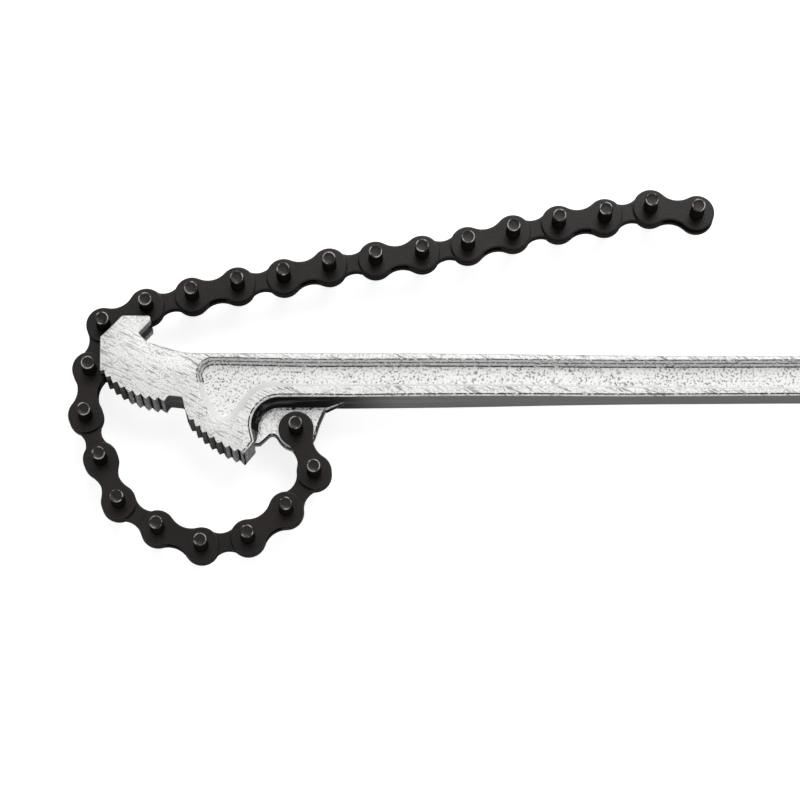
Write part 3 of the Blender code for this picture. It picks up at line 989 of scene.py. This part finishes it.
        kinds = [EdgeKind.ARCH] + [EdgeKind.UNDER] * (len(self.sag_line) - 1)
        corners += [
            Corner(x, self.bottom - share * self.sag, 0.0, kind)
            for (x, share), kind in zip(self.sag_line, kinds)
        ]
        return Outline.through([*corners, Corner(self.under_end, self.bottom)], self.styles)

    def recess(self) -> tuple[Outline, list[float]]:
        """Edge of the recess at the face, and how far the floor lies inside it.

        Returns:
            The outline, anticlockwise, and one distance for each of its points.
        """
        spread = (self.head_half - self.grip_half) * math.tan(math.radians(self.rim_flare))
        right = self.free_end - 2 * self.width
        top, bottom = self.top - self.recess_margins[0], self.bottom + self.recess_margins[1]
        front, side = self.recess_front
        tip = self.recess_tip
        places = (
            (right, self.bottom + self.rim - spread),
            (right, self.top - self.rim + spread),
            (self.arch_x + self.arch_radius, self.top - self.rim),
            (front, top),
            (side, (top + tip[1]) / 2),
            tip,
            (tip[0] + (bottom - tip[1]) * math.tan(math.radians(self.recess_slant)), bottom),
            (self.recess_foot[0], self.bottom + self.recess_foot[1]),
        )
        corners = [Corner(*place, radius) for place, radius in zip(places, self.recess_radii)]
        edge = Outline.through(corners, self.styles)
        insets = []
        for (x, _), normal in zip(edge.points, edge.normals):
            near = min(max((self.slope_fade[0] - x) / self.slope_fade[1], 0.0), 1.0)
            facing = max(normal.normalized().y, 0.0)
            insets.append(self.recess_depth * (self.slope[0] + self.slope[1] * near * facing))
        return edge, insets

    def wall_offset(self, style: EdgeStyle, height: float) -> float:
        """How far the wall stands out at a height, against its place at the face.

        Args:
            style: The edge's sizes.
            height: Height above the middle.

        Returns:
            The distance outwards.
        """
        out = style.draft * (1 - height / self.head_half)
        if height < self.parting[0]:
            out += self.parting[1] * min(style.draft / self.styles[EdgeKind.FORGED].draft, 1.0)
        over_web = max(height - self.web_half, 0.0)
        out += style.foot * (1 - min(over_web / (self.head_half - self.web_half), 1.0)) ** 2
        near = max(1 - over_web / self.bead[0], 0.0)
        return out + self.bead[1] * style.foot * near**2

    def side(self, shell: Shell, sign: int, outline: Outline) -> Ring:
        """Outer wall of one side, from the middle to just inside the face's edge.

        Args:
            shell: Surface that gets the wall.
            sign: 1 for the upper side, -1 for the lower.
            outline: The forging's outline at the face.

        Returns:
            The wall's last ring.
        """
        styles = outline.styles
        rings = []
        for share in self.wall_levels:
            heights = [share * (self.head_half - style.rounding) for style in styles]
            asides = [-self.wall_offset(style, height) for style, height in zip(styles, heights)]
            rings.append(outline.moved(asides, [sign * height for height in heights]))
        for angle in map(math.radians, self.round_angles):
            asides = [style.rounding * (1 - math.cos(angle)) for style in styles]
            heights = [self.head_half - style.rounding * (1 - math.sin(angle)) for style in styles]
            rings.append(outline.moved(asides, [sign * height for height in heights]))
        asides = [style.rounding + self.seam_width * style.seam for style in styles]
        rings.append(outline.moved(asides, sign * self.head_half))
        made = [shell.ring(points) for points in rings]
        # Flank walls get painted shade, worn edges get wear with painted highlight lines, and tooth roots
        # get a darker painted shade.
        flank = [
            Finish.TIP if style.tip else Finish.HOLLOW if style.hollow else Finish.FLANK
            for style in styles
        ]
        # Painted highlight along the bead where the lug's web meets the flank.
        bead_highlight = [Finish.BEAD if style.foot else kept for style, kept in zip(styles, flank)]
        seamed = [Finish.SEAM if style.seam > 0.5 else Finish.FACE for style in styles]
        low, high = self.bead_rings
        wall = len(self.wall_levels)
        shell.bridge(made[: low + 1], flank)
        shell.bridge(made[low : high + 1], bead_highlight)
        shell.bridge(made[high : wall + 1], flank)
        shell.bridge(made[wall:-1], Finish.FACE)
        shell.bridge(made[-2:], seamed)
        return made[-1]

    def recess_rings(self, shell: Shell, sign: int) -> list[Ring]:
        """Rings of a recess, from the face over its rounded edge and drafted wall to the floor.

        Args:
            shell: Surface that gets the rings.
            sign: 1 for the upper side, -1 for the lower.

        Returns:
            The rings in order.
        """
        edge, insets = self.recess()
        rings = [edge.moved(aside, sign * (self.head_half - down)) for aside, down in self.lip]
        aside, down = self.lip[-1]
        for share, lift in self.steps:
            asides = [aside + (inset - aside) * share for inset in insets]
            depth = min(self.recess_depth, down + (self.recess_depth - down) * share - lift)
            rings.append(edge.moved(asides, sign * (self.head_half - depth)))
        made = [shell.ring(points) for points in rings]
        # Walls facing away from the key lamp get painted shade: dark ragged lines at the face's edge and
        # at the floor, and the plain floor finish on the wall; walls facing the lamp get paler painted
        # light.
        shaded = [
            normal.y < self.shade_facing and x > self.shade_from
            for normal, (x, _) in zip(edge.normals, edge.points)
        ]
        on_face = [Finish.SEAM if dark else Finish.FACE for dark in shaded]
        on_floor = [Finish.SEAM if dark else Finish.SLOPE for dark in shaded]
        wall = [Finish.FLOOR if dark else Finish.SLOPE for dark in shaded]
        bands = (
            (1, Finish.FACE),
            (2, on_face),
            (len(self.lip), wall),
            (len(self.lip) + 1, on_floor),
            (len(self.lip) + 3, wall),
            (len(self.lip) + 4, on_floor),
            (len(made) - 1, Finish.FLOOR),
        )
        first = 0
        for last, finish in bands:
            shell.bridge(made[first : last + 1], finish)
            first = last
        return made

    def body(self) -> bpy.types.Mesh:
        """The forging without lug, groove and holes, at the head's thickness throughout.

        Returns:
            The mesh.
        """
        shell = Shell()
        outline = self.plan()
        edges = {sign: self.side(shell, sign, outline) for sign in (1, -1)}
        for sign, ring in edges.items():
            recess = self.recess_rings(shell, sign)
            shell.cap([ring, recess[0]], Finish.FACE)
            shell.cap([recess[-1]], Finish.FLOOR)
        bmesh.ops.remove_doubles(shell.shape, verts=shell.shape.verts, dist=WELD_DISTANCE)
        return shell.mesh("forged_handle")

    def lug(self) -> bpy.types.Mesh:
        """The thin web in the arch, with the round ear that holds the first pin.

        Returns:
            The mesh.
        """
        heel = self.arch_x - self.arch_radius
        inside = self.bottom + self.web_inside
        low, high = self.lug_levels
        outer, inner = self.lug_notch
        corners = [Corner(*point) for point in arc((0.0, 0.0), self.lug_radius, *self.lug_turn)]
        corners += [
            Corner(self.lug_radius + x, self.bottom + y, radius) for x, y, radius in self.lug_side
        ]
        corners += [
            Corner(corners[-1].x, inside),
            Corner(heel - self.web_inside, inside),
            Corner(heel - self.web_inside, low),
            Corner(heel + outer[0], low, outer[1]),
            Corner(-self.lug_radius - inner[0], high, inner[1]),
        ]
        outline = Outline.through(corners, self.styles)
        shell = Shell()
        angles = (*self.round_angles[::-1], 0.0)
        section = rolled_edge(self.lug_rounding, self.web_half, self.lug_edge, angles)
        rings = [shell.ring(outline.moved(aside, height)) for aside, height in section]
        # The lug's faces get painted light and its right end dark specks; its rolled rim gets the worn
        # edge finish with painted highlight lines.
        speckled = [Finish.SEAM if x > self.lug_rough_from else Finish.LUG for x, _ in outline.points]
        shell.bridge(rings[:2], speckled)
        shell.bridge(rings[1:-1], Finish.TIP)
        shell.bridge(rings[-2:], speckled)
        shell.cap([rings[0]], Finish.LUG)
        shell.cap([rings[-1]], Finish.LUG)
        return shell.mesh("lug")

    def groove(self) -> bpy.types.Mesh:
        """Slot in the nose's rim where the chain's plates run.

        Returns:
            The cutter's mesh.
        """
        bend = self.groove_bend
        floor = self.nose_top - self.hook_land - self.hook_mouth - self.plate_radius - self.groove_gap
        start = self.jaw_corner + self.groove_start - self.plate_radius - 2 * self.groove_gap
        centre = self.nose_front - self.groove_gap, start + bend
        end = math.degrees(math.asin((floor - centre[1]) / bend))
        out = self.nose_front - self.width / 2
        back = self.hook_tip + self.neck_length
        above = self.nose_top + self.width
        points = [(out, start), *arc(centre, bend, -90, end), (back, floor), (back, above), (out, above)]
        shell = Shell()
        rings = [shell.ring([(x, y, z) for x, y in points]) for z in (-self.groove_half, self.groove_half)]
        shell.bridge(rings, Finish.FLANK)
        shell.cap([rings[0]], Finish.FLANK)
        shell.cap([rings[1]], Finish.FLANK)
        return shell.mesh("groove")

    def thin(self, mesh: bpy.types.Mesh) -> None:
        """Bring the handle to its real thickness: the faces come down and keep the recess's depth.

        Args:
            mesh: The forging's mesh, as thick as the head throughout.
        """
        floor = self.head_half - self.recess_depth
        for vertex in mesh.vertices:
            drop = self.head_half - self.half_thickness(vertex.co.x)
            height = abs(vertex.co.z)
            if height >= floor:
                height -= drop
            else:
                height *= (floor - drop) / floor
            vertex.co.z = math.copysign(height, vertex.co.z)

    def build(self, finishes: list[bpy.types.Material]) -> bpy.types.Object:
        """Make the forging and dress it.

        Args:
            finishes: Its materials, in the order of Finish.

        Returns:
            The finished piece.
        """
        body, lug, groove = self.body(), self.lug(), self.groove()
        for mesh in (body, lug, groove):
            for finish in finishes:
                mesh.materials.append(finish)
        deep, face = 2 * self.head_half, self.head_half
        hole, flare = self.hang_hole, self.hang_flare
        bore = mirrored([(self.pin_bore, deep), (0.0, deep)])
        eye = mirrored(
            [(hole, face - flare), (hole + flare, face), (hole + 2 * flare, deep), (0.0, deep)]
        )
        piece = Workshop.add("forged_handle", body)
        Workshop.boolean(piece, "UNION", lug)
        Workshop.boolean(piece, "DIFFERENCE", groove)
        Workshop.boolean(piece, "DIFFERENCE", Workshop.lathe(bore, self.bore_sides))
        eye_mesh = Workshop.lathe(eye, self.eye_sides, self.end_centre)
        Workshop.boolean(piece, "DIFFERENCE", eye_mesh)
        self.thin(piece.data)
        for vertex in piece.data.vertices:
            vertex.co += self.origin
        Workshop.shade(piece.data)
        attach(piece, "wrench")
        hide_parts("handle_body")
        return piece


@dataclass
class PlateChain:
    """The chain: outer plates on long pins, and inner links that turn on the same pins.

    A pin's end is given by its rings: how far each lies inside the radius and below the end.
    """

    pins: list[Vector]
    pitch: float = 0.01905
    pin_radius: float = 0.00283
    pin_length: float = 0.0368
    pin_end: tuple[Point, ...] = (
        (0.00283, 0.00016),
        (0.0018395, 0.00018),
        (0.0010754, 0.00014),
        (0.00068, 0.00003),
        (0.00056, 0.0),
        (0.00042, 0.0),
        (0.00028, 0.00006),
        (0.00008, 0.00026),
        (0.0, 0.00055),
    )
    pin_sides: int = 40
    rubbed: Point = (0.00060, 0.00020)
    end_radius: float = 0.00715
    outer_waist: float = 0.0082
    inner_waist: float = 0.0072
    plate: float = 0.0020
    edge: float = 0.00038
    edge_flat: float = 0.0003
    edge_angles: tuple[float, ...] = (90, 65, 40, 15)
    arc_steps: Point = (7.5, 9.0)
    hole_gap: float = 0.00002
    hole_rounding: float = 0.00015
    hole_sides: int = 30
    bush_radius: float = 0.0043
    bush_gap: float = 0.00015
    bush_inset: float = 0.00005
    bush_sides: int = 36
    inner_half: float = 0.0028
    side_gap: float = 0.0002
    wall_slant: float = 0.4

    def plate_outline(self, waist: float) -> Outline:
        """Two round ends joined by hollow waists.

        Args:
            waist: Width at the middle.

        Returns:
            The outline, anticlockwise.
        """
        half_pitch, half_waist, ends = self.pitch / 2, waist / 2, self.end_radius
        hollow = (half_pitch**2 + half_waist**2 - ends**2) / (2 * (ends - half_waist))
        touch = math.degrees(math.atan2(half_waist + hollow, half_pitch))
        upper, lower = (half_pitch, half_waist + hollow), (half_pitch, -half_waist - hollow)
        round_step, hollow_step = self.arc_steps
        points = arc((0.0, 0.0), ends, touch, 360 - touch, round_step)
        points += arc(lower, hollow, 180 - touch, touch, hollow_step)[1:-1]
        points += arc((self.pitch, 0.0), ends, touch - 180, 180 - touch, round_step)
        points += arc(upper, hollow, -touch, touch - 180, hollow_step)[1:-1]
        return Outline(points)

    def plate_mesh(self, waist: float, hole: float) -> bpy.types.Mesh:
        """Stamped plate with rolled edges and two holes.

        Args:
            waist: Width at the middle.
            hole: Radius of its holes.

        Returns:
            The plate's mesh, flat around height 0.
        """
        outline = self.plate_outline(waist)
        half, rounding = self.plate / 2, self.hole_rounding
        section = rolled_edge(self.edge, half, self.edge_flat, self.edge_angles)
        shell = Shell()
        rings = [shell.ring(outline.moved(aside, height)) for aside, height in section]
        shell.bridge(rings)
        bore = mirrored([(hole, half - rounding), (hole + rounding, half)])[::-1]
        holes = []
        for x in (0.0, self.pitch):
            sides = [shell.ring(circle((x, 0.0), *row, self.hole_sides)) for row in bore]
            shell.bridge(sides)
            holes.append(sides)
        shell.cap([rings[0], *[sides[0] for sides in holes]])
        shell.cap([rings[-1], *[sides[-1] for sides in holes]])
        mesh = shell.mesh("plate")
        self.mark(mesh)
        return mesh

    def mark(self, mesh: bpy.types.Mesh, ring: Point = (0.0, 0.0)) -> None:
        """Store which faces are walls, and which points lie in the ring that is rubbed bare.

        Args:
            mesh: The mesh to mark.
            ring: Inner and outer radius of the rubbed ring around the axis.
        """
        wear = mesh.attributes.new("wear", "FLOAT", "POINT")
        for vertex, value in zip(mesh.vertices, wear.data):
            value.value = float(ring[0] < math.hypot(vertex.co.x, vertex.co.y) < ring[1])
        wall = mesh.attributes.new("wall", "BOOLEAN", "FACE")
        for polygon, value in zip(mesh.polygons, wall.data):
            value.value = abs(polygon.normal.z) < self.wall_slant

    def pin_mesh(self) -> bpy.types.Mesh:
        """Long pin with turned ends: a chamfer, a narrow land and a slightly hollow centre.

        Returns:
            The pin's mesh, upright around height 0.
        """
        end, radius = self.pin_length / 2, self.pin_radius
        profile = [(radius - inset, end - down) for inset, down in self.pin_end]
        mesh = Workshop.lathe(mirrored(profile[::-1])[::-1], self.pin_sides)
        self.mark(mesh, (radius - self.rubbed[0], radius - self.rubbed[1]))
        return mesh

    def bush_mesh(self) -> bpy.types.Mesh:
        """Bush pressed into the inner plates, flush with their outer faces.

        Returns:
            The bush's mesh, upright around height 0.
        """
        half, outside = self.inner_half - self.bush_inset, self.bush_radius
        bore = self.pin_radius + self.bush_gap
        shell = Shell()
        section = ((bore, -half), (outside, -half), (outside, half), (bore, half))
        rings = [shell.ring(circle((0.0, 0.0), *row, self.bush_sides)) for row in section]
        shell.bridge([*rings, rings[0]])
        mesh = shell.mesh("bush")
        self.mark(mesh)
        return mesh

    def link_tree(self) -> bpy.types.NodeTree:
        """Node tree of one link: two plates, a post at each end, then the link's place and finish.

        Returns:
            The geometry node group.
        """
        group = bpy.data.node_groups.new("chain_link", "GeometryNodeTree")
        for name, kind in (
            ("Plate", "Object"),
            ("Post", "Object"),
            ("Pitch", "Float"),
            ("Plate Height", "Float"),
            ("Place", "Vector"),
            ("Heading", "Float"),
            ("Finish", "Material"),
            ("Wall Finish", "Material"),
        ):
            group.interface.new_socket(name, in_out="INPUT", socket_type=f"NodeSocket{kind}")
        group.interface.new_socket("Link", in_out="OUTPUT", socket_type="NodeSocketGeometry")
        tree = NodeTree(group)
        given = tree.add("NodeGroupInput").outputs
        joined = tree.add("GeometryNodeJoinGeometry")
        drop = tree.maths("MULTIPLY", given["Plate Height"], -1.0)
        rise = tree.maths("MULTIPLY", given["Plate Height"], 2.0)
        rows = (
            (given["Plate"], {"Z": drop}, {"Z": rise}),
            (given["Post"], {}, {"X": given["Pitch"]}),
        )
        for source, start, step in rows:
            ends = {
                "Count": 2,
                "Start Location": tree.add("ShaderNodeCombineXYZ", start).outputs[0],
                "Offset": tree.add("ShaderNodeCombineXYZ", step).outputs[0],
            }
            line = tree.add("GeometryNodeMeshLine", ends, mode="OFFSET").outputs[0]
            template = tree.add("GeometryNodeObjectInfo", {"Object": source, "As Instance": True})
            instances = {"Points": line, "Instance": template.outputs["Geometry"]}
            placed = tree.add("GeometryNodeInstanceOnPoints", instances)
            group.links.new(placed.outputs[0], joined.inputs[0])
        turn = tree.add("ShaderNodeCombineXYZ", {"Z": given["Heading"]}).outputs[0]
        move = {"Geometry": joined.outputs[0], "Translation": given["Place"], "Rotation": turn}
        moved = tree.add("GeometryNodeTransform", move).outputs[0]
        real = tree.add("GeometryNodeRealizeInstances", {0: moved}).outputs[0]
        paint = {"Geometry": real, "Material": given["Finish"]}
        faces = tree.add("GeometryNodeSetMaterial", paint).outputs[0]
        wall = tree.add("GeometryNodeInputNamedAttribute", {"Name": "wall"}, data_type="BOOLEAN")
        chosen = {"Selection": wall.outputs["Attribute"], "Material": given["Wall Finish"]}
        walls = tree.add("GeometryNodeSetMaterial", {"Geometry": faces} | chosen).outputs[0]
        tree.add("NodeGroupOutput", {"Link": walls})
        return group

    def build(self, finish: bpy.types.Material, wall_finish: bpy.types.Material) -> list[bpy.types.Object]:
        """Make every link and dress it.

        Args:
            finish: The chain's material.
            wall_finish: The material of its upright walls, a copy of the oxide without reflection as
                painted shade.

        Returns:
            The finished links in order.
        """
        group = self.link_tree()
        inputs = [item for item in group.interface.items_tree if item.in_out == "INPUT"]
        sockets = {item.name: item.identifier for item in inputs}
        outer_mesh = self.plate_mesh(self.outer_waist, self.pin_radius + self.hole_gap)
        inner_mesh = self.plate_mesh(self.inner_waist, self.bush_radius + self.hole_gap)
        outer_plate = Workshop.add("outer_plate_template", outer_mesh)
        inner_plate = Workshop.add("inner_plate_template", inner_mesh)
        pin = Workshop.add("pin_template", self.pin_mesh())
        bush = Workshop.add("bush_template", self.bush_mesh())
        links = []
        for number, (start, end) in enumerate(zip(self.pins, self.pins[1:]), start=1):
            outer = number % 2 == 1
            name = f"{'outer' if outer else 'inner'}_link_look_{number:02d}"
            link = Workshop.add(name, bpy.data.meshes.new(name))
            modifier = link.modifiers.new("link", "NODES")
            modifier.node_group = group
            beyond = self.side_gap + self.plate / 2 if outer else -self.plate / 2
            values = {
                "Plate": outer_plate if outer else inner_plate,
                "Post": pin if outer else bush,
                "Pitch": self.pitch,
                "Plate Height": self.inner_half + beyond,
                "Place": tuple(start),
                "Heading": math.atan2(end.y - start.y, end.x - start.x),
                "Finish": finish,
                "Wall Finish": wall_finish,
            }
            for key, value in values.items():
                modifier[sockets[key]] = value
            links.append(link)
        for link in links:
            Workshop.settle(link)
            Workshop.shade(link.data)
        for template in (outer_plate, inner_plate, pin, bush):
            bpy.data.objects.remove(template, do_unlink=True)
        for number, link in enumerate(links, start=1):
            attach(link, f"link_{number:02d}")
            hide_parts(*self.nodes(number))
        return links

    @staticmethod
    def nodes(number: int) -> list[str]:
        """Names of the CAD nodes that a link stands for.

        Args:
            number: The link's number.

        Returns:
            The node names.
        """
        if number % 2 == 0:
            return [f"inner_link_{number:02d}"]
        plates = [f"outer_plate_{number:02d}_{side}" for side in ("upper", "lower")]
        return [f"chain_pin_{number:02d}", f"chain_pin_{number + 1:02d}", *plates]


@dataclass(frozen=True)
class Studio:
    """Camera, lamps, world and floor.

    The camera looks down on the wrench from a little towards the jaws' side, with a long lens.
    A lamp has its name, place, power in watts and size.
    """

    distance: float = 1.906
    tilt: float = 11.05
    focal_length: float = 213.39
    sensor_width: float = 36.0
    aim: tuple[float, float, float] = (0.042037, 0.009116, 0.0184)
    lamps: tuple[tuple[str, tuple[float, float, float], float, float], ...] = (
        ("key", (0.1, 0.80, 1.24), 9.0, 0.9),
        ("fill", (0.9, -0.1, 1.5), 1.5, 1.2),
    )
    world_light: float = 0.42
    floor_paint: Colour = (0.8, 0.8, 0.8)
    floor_glow: float = 0.75
    floor_reach: float = 3.0
    floor_level: float = -0.0001

    def place_camera(self, pin: Vector) -> None:
        """Create the camera at the photograph's viewing angle.

        Args:
            pin: Middle of the first pin.
        """
        target = pin + Vector(self.aim)
        angle = math.radians(self.tilt)
        lens = bpy.data.cameras.new("camera")
        lens.lens = self.focal_length
        lens.sensor_width = self.sensor_width
        camera = bpy.data.objects.new("camera", lens)
        camera.location = target + Vector((0.0, -math.sin(angle), math.cos(angle))) * self.distance
        camera.rotation_euler = (angle, 0.0, 0.0)
        bpy.context.scene.collection.objects.link(camera)
        bpy.context.scene.camera = camera

    def set_world(self) -> None:
        """White for the eye and in reflections, a plain level as light."""
        world = bpy.data.worlds.new("studio")
        bpy.context.scene.world = world
        world.use_nodes = True
        tree = NodeTree(world.node_tree)
        white = (1.0, 1.0, 1.0, 1.0)
        light = tree.add("ShaderNodeBackground", {"Color": white, "Strength": self.world_light})
        plain = tree.add("ShaderNodeBackground", {"Color": white, "Strength": 1.0})
        inputs = {0: tree.seen(), 1: light.outputs[0], 2: plain.outputs[0]}
        mixed = tree.add("ShaderNodeMixShader", inputs)
        tree.add("ShaderNodeOutputWorld", {"Surface": mixed.outputs[0]})

    def hang_lamps(self) -> None:
        """Square soft lamps that face the middle of the scene."""
        for name, place, power, size in self.lamps:
            light = bpy.data.lights.new(name, "AREA")
            light.energy = power
            light.size = size
            lamp = bpy.data.objects.new(name, light)
            lamp.location = place
            lamp.rotation_euler = (-Vector(place)).to_track_quat("-Z", "Y").to_euler()
            bpy.context.scene.collection.objects.link(lamp)

    def lay_floor(self) -> None:
        """White floor that keeps a pale shadow of the wrench."""
        reach, level = self.floor_reach, self.floor_level
        shell = Shell()
        corners = ((-reach, -reach), (reach, -reach), (reach, reach), (-reach, reach))
        shell.shape.faces.new(shell.ring([(*corner, level) for corner in corners]))
        floor = Workshop.add("studio_floor", shell.mesh("studio_floor"))
        finish, tree = NodeTree.material("floor_white")
        strength = tree.maths("MULTIPLY", tree.seen(), self.floor_glow)
        paint = tree.add("ShaderNodeBsdfDiffuse", {"Color": (*self.floor_paint, 1.0)})
        glow = tree.add("ShaderNodeEmission", {"Color": (1.0, 1.0, 1.0, 1.0), "Strength": strength})
        both = tree.add("ShaderNodeAddShader", {0: paint.outputs[0], 1: glow.outputs[0]})
        tree.add("ShaderNodeOutputMaterial", {"Surface": both.outputs[0]})
        floor.data.materials.append(finish)

    def build(self, pin: Vector) -> None:
        """Set up everything around the wrench.

        Args:
            pin: Middle of the first pin.
        """
        self.place_camera(pin)
        self.set_world()
        self.hang_lamps()
        self.lay_floor()


def main() -> None:
    """Load the frame, build the looks and report each piece."""
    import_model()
    pins = []
    for number in range(1, PIN_COUNT + 1):
        low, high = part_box(f"chain_pin_{number:02d}")
        pins.append((Vector(low) + Vector(high)) / 2)
    Studio().build(pins[0])
    bpy.context.scene.view_settings.view_transform = "Standard"
    # pale: painted light on lit recess slopes and the lug's face; hollow: painted shade at the teeth's
    # roots.
    pale, hollow = (0.97, 0.97, 0.96), (0.050, 0.048, 0.046)
    finishes = [
        PlatedForging("ground_face").build(),
        PlatedForging("cast_floor", grain_scale=1000.0, grain_share=0.88, dash_share=0.0).build(),
        PaintedShadeFlank().build(pins[0]),
        # Ragged seam, also used for painted shade lines in the recesses.
        RaggedLine("ragged_seam", (0.53, 0.62)).build(),
        # Worn tooth tips and edges, with painted highlight lines.
        RaggedLine("worn_tooth_tip", (0.58, 0.66)).build(),
        # Painted highlight on the bead.
        RaggedLine("bright_bead", (0.38, 0.52)).build(),
        # Painted light: paler, smooth recess walls on the side that faces the lamp.
        PlatedForging("smooth_slope", pale, grain_share=0.05, dash_share=0.0).build(),
        # Painted light: the lug's face made paler against the shadow the handle casts on it.
        PlatedForging("lug_face", pale, grain_share=0.50, dash_share=0.0).build(),
        # Darker painted shade at the teeth's roots.
        PaintedShadeFlank("dark_hollow", jaws=hollow, glint_share=0.15).build(pins[0]),
    ]
    pieces = [ForgedHandle(origin=pins[0]).build(finishes)]
    # Painted shade: the plates' upright walls get a copy of the oxide without reflection.
    wall_shade_dark, wall_shade_warm = (0.010, 0.009, 0.009), (0.014, 0.012, 0.011)
    oxide = OiledOxide().build()
    oxide_wall = OiledOxide("oxide_wall", wall_shade_dark, wall_shade_warm, specular=0.0).build()
    pieces += PlateChain(pins=pins).build(oxide, oxide_wall)
    for piece in pieces:
        LOG.info("%s: %d faces", piece.name, len(piece.data.polygons))


if __name__ == "__main__":
    logging.basicConfig(level=logging.INFO, format="%(message)s")
    main()
